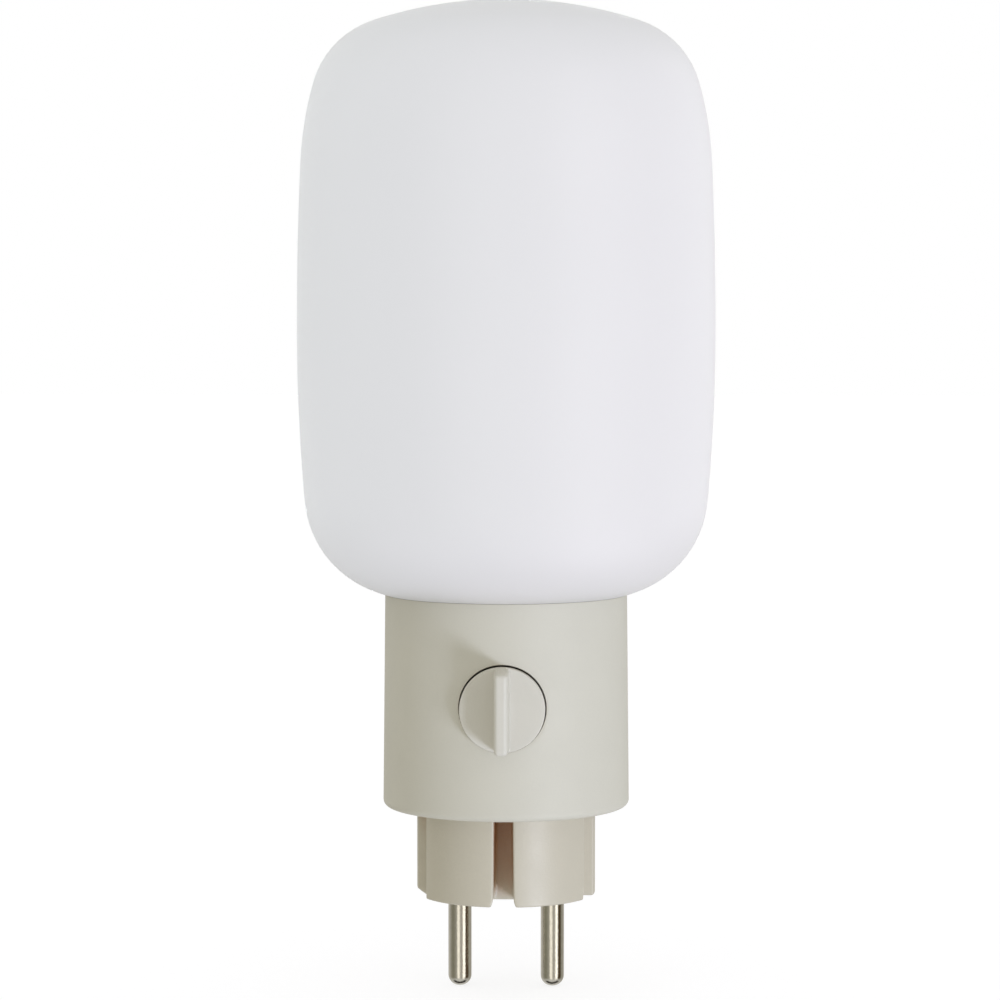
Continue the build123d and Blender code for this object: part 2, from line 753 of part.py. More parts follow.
# Interference capacitor, a moulded box on the back of the board
with BuildPart() as x2_capacitor:
    with BuildSketch(Plane.XZ.offset(board_back - capacitor_size[2])):
        with Locations((capacitor_place[0], knob_axis + capacitor_place[1])):
            Rectangle(capacitor_size[0], capacitor_size[1])
    extrude(amount=capacitor_size[2])
    fillet(x2_capacitor.faces().sort_by(Axis.Y)[-1].edges(), capacitor_edge_radius)
x2_capacitor.part.label = "x2_capacitor"
export_step(x2_capacitor.part, "parts/x2_capacitor.step")

# Interference choke, a ferrite bobbin with its winding
with BuildPart() as choke_core:
    with BuildSketch(Plane.XZ.offset(board_back - choke_height)):
        with Locations((choke_place[0], knob_axis + choke_place[1])):
            Circle(choke_core_radius)
    extrude(amount=choke_height)
    for bottom in (board_back - choke_height, board_back - choke_flange_thickness):
        with BuildSketch(Plane.XZ.offset(bottom)):
            with Locations((choke_place[0], knob_axis + choke_place[1])):
                Circle(choke_flange_radius)
        extrude(amount=choke_flange_thickness)
choke_core.part.label = "choke_core"
export_step(choke_core.part, "parts/choke_core.step")

with BuildPart() as choke_winding:
    with BuildSketch(Plane.XZ.offset(board_back - choke_height + choke_flange_thickness)):
        with Locations((choke_place[0], knob_axis + choke_place[1])):
            Circle(choke_winding_radius)
            Circle(choke_core_radius + screw_gap, mode=Mode.SUBTRACT)
    extrude(amount=choke_height - 2 * choke_flange_thickness)
choke_winding.part.label = "choke_winding"
export_step(choke_winding.part, "parts/choke_winding.step")

# Fuse in a round moulded case
with BuildPart() as fuse:
    with BuildSketch(Plane.XZ.offset(board_back - fuse_height)):
        with Locations((fuse_place[0], knob_axis + fuse_place[1])):
            Circle(fuse_radius)
    extrude(amount=fuse_height)
    fillet(fuse.faces().sort_by(Axis.Y)[-1].edges(), capacitor_edge_radius)
fuse.part.label = "fuse"
export_step(fuse.part, "parts/fuse.step")

# Triac, a moulded half-round body on three legs
with BuildPart() as triac:
    with BuildSketch(Plane.XZ.offset(board_back - triac_stand_off - triac_length)):
        with Locations((triac_place[0], knob_axis + triac_place[1])):
            Circle(triac_radius)
        with Locations((triac_place[0], knob_axis + triac_place[1] - triac_flat - triac_radius)):
            Rectangle(4 * triac_radius, 2 * triac_radius, mode=Mode.SUBTRACT)
    extrude(amount=triac_length)
    with BuildSketch(Plane.XZ.offset(board_back - triac_stand_off)):
        with Locations((triac_place[0], knob_axis + triac_place[1])):
            with GridLocations(triac_leg_pitch, 0, 3, 1):
                Circle(leg_radius)
    extrude(amount=triac_stand_off)
triac.part.label = "triac"
export_step(triac.part, "parts/triac.step")


def axial_part(centre, direction, radius, length):
    """A small axial component above the board, its wire bent down into the board at both ends."""
    lift = radius + component_lift
    half = length / 2 + leg_overhang
    wire_plane = Plane(origin=centre, x_dir=direction, z_dir=Vector(direction).cross(Vector(0, 1, 0)))
    rise = Vector(0, -lift, 0).dot(wire_plane.y_dir)
    with BuildPart() as component:
        with BuildLine(wire_plane) as route:
            FilletPolyline((-half, rise), (-half, 0), (half, 0), (half, rise), radius=leg_bend_radius)
        with BuildSketch(Plane(origin=route.line @ 0, z_dir=route.line % 0)):
            Circle(leg_radius)
        sweep()
        with BuildSketch(Plane(origin=centre - Vector(direction) * (length / 2), z_dir=direction)):
            Circle(radius)
        extrude(amount=length)
    return component


# Gate resistors, two small axial resistors standing along the board
with BuildPart() as gate_resistors:
    for place_x, place_z in resistor_places:
        lift = resistor_radius + component_lift
        centre = Vector(place_x, -board_back + lift, knob_axis + place_z)
        add(axial_part(centre, (0, 0, 1), resistor_radius, resistor_length).part)
gate_resistors.part.label = "gate_resistors"
export_step(gate_resistors.part, "parts/gate_resistors.step")

# Diac, a glass-cased trigger diode
diac_centre = Vector(diac_place[0], -board_back + diac_radius + component_lift, knob_axis + diac_place[1])
diac = axial_part(diac_centre, (1, 0, 0), diac_radius, diac_length)
diac.part.label = "diac"
export_step(diac.part, "parts/diac.step")


# Lampholder, a ceramic block with ears, a recess for the bulb base and two contact pockets
with BuildPart() as lampholder_body:
    with BuildSketch(Plane.XY.offset(carrier_top)):
        RectangleRounded(holder_width, holder_depth, holder_corner_radius)
    extrude(amount=holder_height)
    with BuildSketch(Plane.XY.offset(holder_ear_bottom)):
        Rectangle(2 * holder_pad_radius, 2 * holder_pad_y)
        with Locations(*holder_pad_places):
            Circle(holder_pad_radius)
    extrude(amount=holder_ear_thickness)
    with BuildSketch(Plane.XY.offset(carrier_top)):
        with Locations(*holder_pad_places):
            Circle(holder_pad_radius + screw_gap)
    extrude(amount=holder_pad_height, mode=Mode.SUBTRACT)
    with BuildSketch(Plane.XY.offset(holder_recess_floor)):
        RectangleRounded(
            bulb_tongue_width + 2 * insert_gap,
            bulb_tongue_depth + 2 * insert_gap,
            holder_recess_corner_radius,
        )
    extrude(amount=holder_height, mode=Mode.SUBTRACT)
    with BuildSketch(Plane.XY.offset(pocket_bottom)):
        with Locations(*bulb_pin_places):
            Rectangle(contact_pocket_width, contact_pocket_depth)
    extrude(amount=contact_pocket_height, mode=Mode.SUBTRACT)
    with BuildSketch(Plane.XY.offset(carrier_top)):
        with Locations(*bulb_pin_places):
            Circle(contact_tail_width / 2 + slip_gap)
    extrude(amount=pocket_bottom - carrier_top, mode=Mode.SUBTRACT)
    with BuildSketch(Plane.XY.offset(holder_ear_bottom)):
        with Locations(*holder_pad_places):
            Circle(holder_screw_radius + slip_gap)
    extrude(amount=holder_ear_thickness, mode=Mode.SUBTRACT)
lampholder_body.part.label = "lampholder_body"
export_step(lampholder_body.part, "parts/lampholder_body.step")

# Contact springs, a pair of leaves for each bulb loop with a round tail through the carrier
with BuildPart() as lampholder_contacts:
    for x in (-bulb_pin_x, bulb_pin_x):
        leaf_y = bulb_wire_radius + slip_gap + contact_leaf_thickness / 2
        with BuildSketch(Plane.XY.offset(pocket_bottom)):
            with Locations((x, 0)):
                Rectangle(contact_leaf_width, 2 * leaf_y + contact_leaf_thickness)
        extrude(amount=contact_leaf_thickness)
        with BuildSketch(Plane.XY.offset(pocket_bottom)):
            with Locations((x, -leaf_y), (x, leaf_y)):
                Rectangle(contact_leaf_width, contact_leaf_thickness)
        extrude(amount=contact_leaf_height)
        with BuildSketch(Plane.XY.offset(carrier_bottom - contact_tail_reach)):
            with Locations((x, 0)):
                Circle(contact_tail_width / 2)
        extrude(amount=pocket_bottom - carrier_bottom + contact_tail_reach)
lampholder_contacts.part.label = "lampholder_contacts"
export_step(lampholder_contacts.part, "parts/lampholder_contacts.step")

# Screws through the lampholder's ears into the carrier's pads
with BuildPart() as lampholder_screws:
    with BuildSketch(Plane.XY.offset(holder_ear_top)):
        with Locations(*holder_pad_places):
            Circle(holder_screw_head_radius)
    extrude(amount=holder_screw_head_height)
    fillet(lampholder_screws.faces().group_by(Axis.Z)[-1].edges(), screw_head_edge_radius)
    with BuildSketch(Plane.XY.offset(holder_ear_top)):
        with Locations(*holder_pad_places):
            Circle(holder_screw_radius)
    extrude(amount=carrier_bottom - holder_ear_top + insert_gap)
    with BuildSketch(Plane.XY.offset(holder_ear_top + holder_screw_head_height)):
        with Locations(*holder_pad_places):
            Rectangle(2 * holder_screw_radius, screw_slot_width)
            Rectangle(screw_slot_width, 2 * holder_screw_radius)
    extrude(amount=-screw_slot_depth, mode=Mode.SUBTRACT)
lampholder_screws.part.label = "lampholder_screws"
export_step(lampholder_screws.part, "parts/lampholder_screws.step")


# Bulb base, a flat tongue that drops into the lampholder under a round collar
with BuildPart() as bulb_base:
    with BuildSketch(Plane.XY.offset(bulb_bottom)):
        RectangleRounded(bulb_tongue_width, bulb_tongue_depth, holder_recess_corner_radius)
    extrude(amount=bulb_shoulder - bulb_bottom)
    with BuildSketch(Plane.XY.offset(bulb_shoulder)):
        Circle(bulb_collar_radius)
    extrude(amount=bulb_collar_height)
    fillet(bulb_base.faces().sort_by(Axis.Z)[-1].edges(), bulb_collar_edge_radius)
bulb_base.part.label = "bulb_base"
export_step(bulb_base.part, "parts/bulb_base.step")

# Bulb pins, two wire loops under the base
with BuildPart() as bulb_pins:
    for x in (-bulb_pin_x, bulb_pin_x):
        with BuildLine(Plane.XZ) as loop:
            FilletPolyline(
                (x - bulb_loop_width / 2, bulb_bottom),
                (x - bulb_loop_width / 2, bulb_bottom - bulb_loop_length),
                (x + bulb_loop_width / 2, bulb_bottom - bulb_loop_length),
                (x + bulb_loop_width / 2, bulb_bottom),
                radius=bulb_loop_bend_radius,
            )
        with BuildSketch(Plane(origin=loop.line @ 0, z_dir=loop.line % 0)):
            Circle(bulb_wire_radius)
        sweep()
bulb_pins.part.label = "bulb_pins"
export_step(bulb_pins.part, "parts/bulb_pins.step")

# Bulb cover, a thin frosted dome on the base
with BuildPart() as bulb_cover:
    with BuildSketch(Plane.XZ):
        with BuildLine():
            Line((0, cover_top), (0, cover_top - bulb_cover_wall))
            CenterArc((0, cover_cylinder_top), bulb_cover_radius - bulb_cover_wall, 0, 90)
            Polyline(
                (bulb_cover_radius - bulb_cover_wall, cover_cylinder_top),
                (bulb_cover_radius - bulb_cover_wall, cover_bottom),
                (bulb_cover_radius, cover_bottom),
                (bulb_cover_radius, cover_cylinder_top),
            )
            CenterArc((0, cover_cylinder_top), bulb_cover_radius, 0, 90)
        make_face()
    revolve(axis=Axis.Z)
bulb_cover.part.label = "bulb_cover"
export_step(bulb_cover.part, "parts/bulb_cover.step")

# Light board upright in the bulb, and the chips on both of its faces
with BuildPart() as led_board:
    with BuildSketch(Plane.XY.offset(cover_bottom)):
        Rectangle(led_board_width, led_board_thickness)
    extrude(amount=led_board_length)
led_board.part.label = "led_board"
export_step(led_board.part, "parts/led_board.step")

with BuildPart() as led_chips:
    for face in (-1, 1):
        with BuildSketch(Plane.XZ.offset(face * led_board_thickness / 2)):
            with Locations((0, cover_bottom + led_board_length / 2)):
                with GridLocations(
                    led_board_width / 2, led_board_length / led_chip_rows, 2, led_chip_rows
                ):
                    Rectangle(led_chip_size[0], led_chip_size[1])
        extrude(amount=face * led_chip_size[2])
led_chips.part.label = "led_chips"
export_step(led_chips.part, "parts/led_chips.step")


def lead(start, rise, radius):
    """An insulated wire that rises or drops from a terminal at y = 0 and turns into the board."""
    with BuildPart() as wire:
        with BuildLine() as route:
            FilletPolyline(
                start,
                start + Vector(0, 0, rise),
                start + Vector(0, -board_back, rise),
                radius=lead_bend_radius,
            )
        with BuildSketch(Plane(origin=route.line @ 0, z_dir=route.line % 0)):
            Circle(radius)
        sweep()
    return wire


# Mains leads from the pin tails to the board, and the crimped sleeves that join them
live_lead = lead(Vector(-pin_x, 0, tail_top), mains_lead_rise, mains_lead_radius)
live_lead.part.label = "live_lead"
export_step(live_lead.part, "parts/live_lead.step")

neutral_lead = lead(Vector(pin_x, 0, tail_top), mains_lead_rise, mains_lead_radius)
neutral_lead.part.label = "neutral_lead"
export_step(neutral_lead.part, "parts/neutral_lead.step")

with BuildPart() as pin_ferrules:
    with BuildSketch(Plane.XY.offset(tail_top - ferrule_length / 2)):
        with Locations(*pin_places):
            Circle(pin_tail_radius + screw_gap + ferrule_wall)
            Circle(pin_tail_radius + screw_gap, mode=Mode.SUBTRACT)
    extrude(amount=ferrule_length / 2)
    with BuildSketch(Plane.XY.offset(tail_top)):
        with Locations(*pin_places):
            Circle(pin_tail_radius + screw_gap + ferrule_wall)
            Circle(mains_lead_radius + screw_gap, mode=Mode.SUBTRACT)
    extrude(amount=ferrule_length / 2)
pin_ferrules.part.label = "pin_ferrules"
export_step(pin_ferrules.part, "parts/pin_ferrules.step")

# Lamp leads from the lampholder's contact tails to the board
with BuildPart() as lamp_leads:
    for x in (-bulb_pin_x, bulb_pin_x):
        start = Vector(x, 0, carrier_bottom - contact_tail_reach)
        add(lead(start, -lamp_lead_rise, lamp_lead_radius).part)
lamp_leads.part.label = "lamp_leads"
export_step(lamp_leads.part, "parts/lamp_leads.step")


# Diffuser, one blown opal shell with an open neck that slips over the carrier's collar
neck_turn = degrees(acos(neck_radius / base_radius))
inner_base_radius = base_radius - glass_wall
inner_neck_turn = degrees(acos(neck_inner_radius / inner_base_radius))
crown_top = crown_arcs[-1][1] + crown_arcs[-1][2]
with BuildPart() as diffuser:
    with BuildSketch(Plane.XZ):
        with BuildLine():
            for inset in (0, glass_wall):
                for arc_r, arc_z, arc_radius, first_turn, last_turn in crown_arcs:
                    CenterArc(
                        (arc_r, belly_height + arc_z), arc_radius - inset, first_turn, last_turn - first_turn
                    )
                for arc_r, arc_z, arc_radius, first_turn, last_turn in base_arcs[:-1]:
                    CenterArc(
                        (arc_r, belly_height + arc_z), arc_radius - inset, -first_turn, first_turn - last_turn
                    )
            base_start = base_arcs[-1][3]
            CenterArc((0, belly_height + base_centre), base_radius, -base_start, base_start - neck_turn)
            CenterArc(
                (0, belly_height + base_centre), inner_base_radius, -base_start, base_start - inner_neck_turn
            )
            Polyline(
                (neck_radius, belly_height + underside(neck_radius)),
                (neck_radius, neck_end),
                (neck_inner_radius, neck_end),
                (neck_inner_radius, belly_height + underside(neck_inner_radius, glass_wall)),
            )
            Line((0, belly_height + crown_top), (0, belly_height + crown_top - glass_wall))
        make_face()
    revolve(axis=Axis.Z)
    neck_root = diffuser.edges().filter_by(GeomType.CIRCLE).filter_by_position(
        Axis.Z,
        belly_height + underside(neck_radius) - running_gap,
        belly_height + underside(neck_radius) + running_gap,
    )
    fillet(neck_root, neck_root_radius)
    neck_mouth = diffuser.edges().filter_by(GeomType.CIRCLE).filter_by_position(
        Axis.Z,
        belly_height + underside(neck_inner_radius, glass_wall) - running_gap,
        belly_height + underside(neck_inner_radius, glass_wall) + running_gap,
    )
    fillet(neck_mouth, neck_mouth_radius)
diffuser.part.label = "diffuser"
export_step(diffuser.part, "parts/diffuser.step")
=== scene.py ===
import json
from math import acos, atan, cos, degrees, pi, radians, sin, sqrt, tan

import bmesh
import bpy
import numpy as np
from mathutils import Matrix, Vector
from mathutils.geometry import delaunay_2d_cdt


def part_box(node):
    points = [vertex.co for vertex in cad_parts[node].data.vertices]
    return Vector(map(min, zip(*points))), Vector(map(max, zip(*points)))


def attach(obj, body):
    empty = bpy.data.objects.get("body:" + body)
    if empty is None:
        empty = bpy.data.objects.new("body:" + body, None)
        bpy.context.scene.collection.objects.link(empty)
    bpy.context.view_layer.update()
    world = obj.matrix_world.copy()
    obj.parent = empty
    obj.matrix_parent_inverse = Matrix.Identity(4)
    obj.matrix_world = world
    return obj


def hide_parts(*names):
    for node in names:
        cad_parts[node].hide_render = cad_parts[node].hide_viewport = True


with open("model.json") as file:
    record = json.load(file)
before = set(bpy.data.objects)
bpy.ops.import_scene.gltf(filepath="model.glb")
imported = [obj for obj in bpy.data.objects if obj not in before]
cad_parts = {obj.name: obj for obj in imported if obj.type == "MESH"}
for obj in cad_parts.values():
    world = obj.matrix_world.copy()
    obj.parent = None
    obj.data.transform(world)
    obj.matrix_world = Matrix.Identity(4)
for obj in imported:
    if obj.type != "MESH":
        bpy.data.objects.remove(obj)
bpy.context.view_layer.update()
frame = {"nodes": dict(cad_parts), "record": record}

# Plug-in lamp: an opal glass diffuser on a round housing with a dimmer knob, on a mains plug.
# Metres, +Z up, pins towards -Z, knob towards -Y. Origin on the plug's contact face.

# Places read from the frame; the carrier plate lies under the seat gasket
plug_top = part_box("plug_body")[1].z
housing_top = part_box("housing")[1].z
pin_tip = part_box("live_pin")[0].z
pin_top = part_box("live_pin")[1].z
knob_low, knob_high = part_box("knob")
knob_axis = (knob_low.z + knob_high.z) / 2
knob_front = knob_low.y
stem_end = knob_high.y
neck_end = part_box("diffuser")[0].z
carrier_thickness = 0.0024
carrier_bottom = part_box("seat_gasket")[0].z - carrier_thickness

# Plug body and pins
plug_radius = 0.01825
plug_flat_x = 0.0159
plug_key_y = 0.0037
plug_slot_x = 0.0019
plug_slot_y = 0.0091
plug_slot_draft = 0.00016
plug_slot_corner = 0.0007
plug_slot_flare = 0.0007
plug_foot = 0.0024
plug_key_cut = 0.85
plug_key_cut_height = 0.0013
plug_edge = 0.0004
plug_corner = 0.00035
plug_corner_thinning = 0.75
plug_key_corner = 0.9
plug_inner_corner = 0.5
plug_wall = 0.0023
plug_floor = 0.0032
pin_x = 0.0095
pin_radius = 0.0024
pin_tip_round = 0.0022
pin_seat = 0.0003
pin_shank = 0.0020
pin_collar = 0.0033
pin_collar_height = 0.0025
pin_tail = 0.0015
pin_boss = 0.0046
plug_screw_x = 0.0080
plug_screw_y = 0.0110
plug_screw_radius = 0.0015
plug_screw_boss = 0.0029
plug_screw_depth = 0.0100

# Housing
housing_rim_radius = 0.0247
housing_flare = 0.00045
housing_wall = 0.0022
housing_floor = 0.0024
housing_foot_round = 0.0013
housing_foot_ring = 0.0010
housing_inner_round = 0.0008
housing_edge = 0.00015
housing_rim_edge = 0.00006
housing_rim_lift = 0.00018
boss_radius = 0.0029
boss_overlap = 0.0003
boss_angles = (90.0, 210.0, 330.0)
boss_bore = 0.00115
boss_bore_depth = 0.0100

# Knob
knob_radius = 0.0085
knob_thickness = 0.0040
knob_edge = 0.0002
knob_hole_gap = 0.0002
knob_hole_lift = 0.00015
blade_length = 0.0168
blade_width = 0.0030
blade_reach = 0.0086
blade_edge = 0.0008
blade_draft = 1.2
blade_end_draft = 2.6
blade_root = 0.0001
blade_corner = 0.00005
knob_back_edge = 0.0001
knob_stem = 0.0044
knob_bore = 0.00305
knob_bore_flat = 0.00155

# Glass
glass_radius = 0.0425
glass_wall = 0.0026
crown_legs = ((0.740, 2.7), (0.0708, 16.0), (0.018, 71.7))
base_legs = ((0.389, 5.0), (0.0211, 72.2))
neck_gap = 0.0020
neck_root = 0.0012
neck_mouth = 0.0020
neck_lip = 0.0006
rim_gap = 0.0002

# Clearances between parts that fit
running_gap = 0.00005
slip_gap = 0.0002

# Fineness of the meshes: numbers of points, the glass's spacing in metres, and steps in degrees
glass_columns = 176
glass_spacing = 0.0022
glass_step = 6.0
glass_root_step = 12.0
glass_lip_step = 15.0
straight_points = 5
pin_columns = 64
plug_round_step = 7.5

# Tolerances of the meshes
same_point = 2e-7
weld_distance = 5e-7
sliver = 1e-8
crossing = 1e-7

# Places worked out from the sizes
housing_bottom = plug_top
housing_foot_radius = housing_rim_radius + housing_flare
housing_inner = housing_rim_radius - housing_wall
housing_floor_top = housing_bottom + housing_floor
boss_circle = housing_inner - boss_radius + boss_overlap
knob_hole = knob_radius + knob_hole_gap
hole_axis = knob_axis + knob_hole_lift
pin_places = ((-pin_x, 0.0), (pin_x, 0.0))
plug_screw_places = ((-plug_screw_x, -plug_screw_y), (plug_screw_x, plug_screw_y))


def arc(centre, radius, first, last, step=6.0):
    """Points on a circle from one angle to another, in even steps of about step degrees."""
    count = max(2, int(abs(last - first) / step + 1.5))
    turn = np.radians(np.linspace(first, last, count))
    return np.column_stack((centre[0] + radius * np.cos(turn), centre[1] + radius * np.sin(turn)))


def circle_at(centre, radius, step=15.0):
    """Points all round a circle, in steps of step degrees."""
    return arc(centre, radius, 0, 360 - step, step)


def level(outline, height):
    """A flat outline laid level at a height."""
    return np.column_stack((outline, np.full(len(outline), height)))


def rounded(corners, radii, arc_points=6):
    """Closed or open outline with each corner swapped for a tangent arc of its radius.

    A corner of turn a and radius r starts its arc r tan(a/2) before the corner. The arc's centre
    lies r to the side of that start, and its points are the start turned about the centre.
    """
    corners = np.asarray(corners, float)
    before = corners - np.roll(corners, 1, axis=0)
    after = np.roll(corners, -1, axis=0) - corners
    before /= np.linalg.norm(before, axis=1, keepdims=True)
    after /= np.linalg.norm(after, axis=1, keepdims=True)
    turn = np.arctan2(
        before[:, 0] * after[:, 1] - before[:, 1] * after[:, 0], np.sum(before * after, axis=1)
    )
    radii = np.asarray(radii, float)
    reach = radii * np.tan(np.abs(turn) / 2)
    start = corners - before * reach[:, None]
    side = np.sign(turn)
    normal = np.column_stack((-before[:, 1], before[:, 0])) * side[:, None]
    centre = start + normal * radii[:, None]
    share = np.linspace(0, 1, arc_points)
    sweep = turn[:, None] * share[None, :]
    arm = -normal * radii[:, None]
    arm_x = arm[:, 0, None] * np.cos(sweep) - arm[:, 1, None] * np.sin(sweep)
    arm_y = arm[:, 0, None] * np.sin(sweep) + arm[:, 1, None] * np.cos(sweep)
    points = np.stack((centre[:, 0, None] + arm_x, centre[:, 1, None] + arm_y), axis=-1)
    return points.reshape(-1, 2)


def without_repeats(points):
    """The outline without points that lie on the point before."""
    apart = np.linalg.norm(np.diff(points, axis=0), axis=1) > same_point
    return points[np.concatenate(([True], apart))]


def all_round(count):
    """Evenly spaced angles all round."""
    return np.linspace(0, 2 * pi, count, endpoint=False)


def lathe(profile, angles):
    """Rings of a turned shape: a profile point (r, z) goes to (r cos a, r sin a, z) at each angle a."""
    radius = profile[:, 0, None]
    x = radius * np.cos(angles)[None, :]
    y = radius * np.sin(angles)[None, :]
    z = np.repeat(profile[:, 1, None], len(angles), axis=1)
    return np.stack((x, y, z), axis=-1)


def quads(rings):
    """Points and four-cornered faces of a grid whose rows are closed rings, row by row."""
    rows, columns = rings.shape[:2]
    index = np.arange(rows * columns).reshape(rows, columns)
    beside = np.roll(index, -1, axis=1)
    faces = np.stack((index[:-1], beside[:-1], beside[1:], index[1:]), axis=-1)
    return rings.reshape(-1, 3), faces.reshape(-1, 4)


def tube(outlines):
    """Points and faces of the wall that runs through outlines, each given with its height."""
    return quads(np.stack([level(outline, height) for outline, height in outlines]))


def flat_face(outlines, height, inside=lambda owners: owners == {0}, upwards=True):
    """Triangles of a level face: those of the outlines' common triangulation that the test keeps.

    inside gets, for each triangle, the set of outlines that hold it, by number. Unless it is given,
    it keeps what only the first outline holds, and the others are holes.
    """
    points = [Vector(point) for outline in outlines for point in outline]
    counts = [len(outline) for outline in outlines]
    starts = np.concatenate(([0], np.cumsum(counts)[:-1]))
    loops = [list(range(start, start + count)) for start, count in zip(starts.tolist(), counts)]
    found, _, faces, _, _, owners = delaunay_2d_cdt(points, [], loops, 0, crossing)
    kept = [face for face, owner in zip(faces, owners) if inside(set(owner))]
    places = np.array([(point.x, point.y, height) for point in found])
    if not upwards:
        kept = [list(reversed(face)) for face in kept]
    return places, np.array(kept)


def boundary(faces):
    """The directed edges of a triangle set that only one triangle has."""
    edges = np.concatenate((faces[:, [0, 1]], faces[:, [1, 2]], faces[:, [2, 0]]))
    twin = {(b, a) for a, b in edges.tolist()}
    return np.array([edge for edge in edges.tolist() if tuple(edge) not in twin])


def walls(places, edges, height):
    """Upright four-cornered walls from each directed edge of a level face to another height."""
    raised = places.copy()
    raised[:, 2] = height
    count = len(places)
    faces = np.column_stack((edges[:, 0], edges[:, 1], edges[:, 1] + count, edges[:, 0] + count))
    return np.concatenate((places, raised)), faces


def make_piece(name, patches, sharp=35.0):
    """One closed mesh object from patches of points and faces, joined where their points meet."""
    points, faces = [], []
    for patch_points, patch_faces in patches:
        faces += (patch_faces + len(points)).tolist()
        points += patch_points.tolist()
    mesh = bpy.data.meshes.new(name)
    mesh.from_pydata(points, [], faces)
    work = bmesh.new()
    work.from_mesh(mesh)
    bmesh.ops.remove_doubles(work, verts=work.verts, dist=weld_distance)
    bmesh.ops.dissolve_degenerate(work, edges=work.edges, dist=sliver)
    bmesh.ops.recalc_face_normals(work, faces=work.faces)
    work.to_mesh(mesh)
    work.free()
    mesh.shade_smooth()
    mesh.set_sharp_from_angle(angle=radians(sharp))
    piece = bpy.data.objects.new(name, mesh)
    bpy.context.scene.collection.objects.link(piece)
    return piece


def glass_arcs(side, legs):
    """Arcs from the belly ring to the axis, each tangent to the last, as centre, radius and turns.

    side is 1 towards the crown and -1 towards the neck. The closing arc has its centre on the axis.
    """
    arcs = []
    point_r, point_z, turn = glass_radius, 0.0, 0.0
    for radius, end_turn in legs:
        centre_r = point_r - radius * cos(radians(turn))
        centre_z = point_z - side * radius * sin(radians(turn))
        arcs.append((centre_r, centre_z, radius, turn, end_turn))
        point_r = centre_r + radius * cos(radians(end_turn))
        point_z = centre_z + side * radius * sin(radians(end_turn))
        turn = end_turn
    closing = point_r / cos(radians(turn))
    arcs.append((0.0, point_z - side * closing * sin(radians(turn)), closing, turn, 90.0))
    return arcs


crown_arcs = glass_arcs(1, crown_legs)
base_arcs = glass_arcs(-1, base_legs)
base_centre, base_radius = base_arcs[-1][1:3]
belly_height = housing_top + rim_gap - base_centre + sqrt(base_radius**2 - housing_rim_radius**2)
base_height = belly_height + base_centre


def glass_under(radius):
    """Height of the glass's underside at a radius."""
    return base_height - sqrt(base_radius**2 - radius**2)


def make_glass():
    """Diffuser: a turned profile from the crown down the outside, round the neck's lip and up the
    inside.

    It is a chain of tangent arcs, which the inside follows at the wall's thickness.
    """
    neck_radius = housing_inner - neck_gap
    neck_inner = neck_radius - glass_wall
    inner_radius = base_radius - glass_wall

    def shell(arcs, side, inset):
        """The arcs from the belly ring outwards, inset by the wall, as angles from level."""
        return [
            ((centre_r, belly_height + centre_z), radius - inset, side * first, side * last)
            for centre_r, centre_z, radius, first, last in arcs
        ]

    def drawn(pieces):
        """Each arc, its points glass_spacing apart, or glass_step where that is less."""
        return [
            arc(centre, radius, first, last, min(glass_step, degrees(glass_spacing / radius)))
            for centre, radius, first, last in pieces
        ]

    root_turn = degrees(acos((neck_radius + neck_root) / (base_radius + neck_root)))
    root_z = base_height - sqrt((base_radius + neck_root) ** 2 - (neck_radius + neck_root) ** 2)
    mouth_turn = degrees(acos((neck_inner + neck_mouth) / (inner_radius + neck_mouth)))
    mouth_z = base_height - sqrt((inner_radius + neck_mouth) ** 2 - (neck_inner + neck_mouth) ** 2)
    lip_z = neck_end + neck_lip
    root_centre = (neck_radius + neck_root, root_z)
    mouth_centre = (neck_inner + neck_mouth, mouth_z)
    outside = [(c, r, last, first) for c, r, first, last in reversed(shell(crown_arcs, 1, 0.0))]
    below = shell(base_arcs, -1, 0.0)
    below[-1] = (*below[-1][:3], -root_turn)
    inside_below = shell(base_arcs, -1, glass_wall)
    inside_below[-1] = (*inside_below[-1][:3], -mouth_turn)
    inside_below = [(c, r, last, first) for c, r, first, last in reversed(inside_below)]
    profile = np.vstack(
        drawn(outside)
        + drawn(below)
        + [
            arc(root_centre, neck_root, 180 - root_turn, 180, glass_root_step),
            np.linspace((neck_radius, root_z), (neck_radius, lip_z), straight_points),
            arc((neck_radius - neck_lip, lip_z), neck_lip, 0, -90, glass_lip_step),
            arc((neck_inner + neck_lip, lip_z), neck_lip, -90, -180, glass_lip_step),
            np.linspace((neck_inner, lip_z), (neck_inner, mouth_z), straight_points),
            arc(mouth_centre, neck_mouth, 180, 180 - mouth_turn, glass_root_step),
        ]
        + drawn(inside_below)
        + drawn(shell(crown_arcs, 1, glass_wall))
    )
    profile = without_repeats(profile)
    profile[[0, -1], 0] = 0.0
    return make_piece("glass_diffuser", [quads(lathe(profile, all_round(glass_columns)))], sharp=60)


def wall_radius(height):
    """Radius of the housing's tapered outside at a height."""
    rise = (height - housing_bottom) / (housing_top - housing_bottom)
    return housing_foot_radius - housing_flare * rise


# Cells of the housing's grid: between two bosses, across one, and of the block round the knob's hole
wall_cells = 56
boss_cells = 14
block_cells = 26
block_rows = 16
block_half = carrier_bottom - knob_axis


def ring_angles(radius):
    """Angles of a ring's points: even steps between the bosses and finer ones across each.

    half is half the angle between the two places where the ring meets a boss.
    """
    half = acos((boss_circle**2 + radius**2 - boss_radius**2) / (2 * boss_circle * radius))
    stretch = []
    for place in boss_angles:
        centre = radians(place)
        stretch.append(np.linspace(centre - half, centre + half, boss_cells, endpoint=False))
        stretch.append(
            np.linspace(centre + half, centre + 2 * pi / 3 - half, wall_cells, endpoint=False)
        )
    return np.concatenate(stretch)


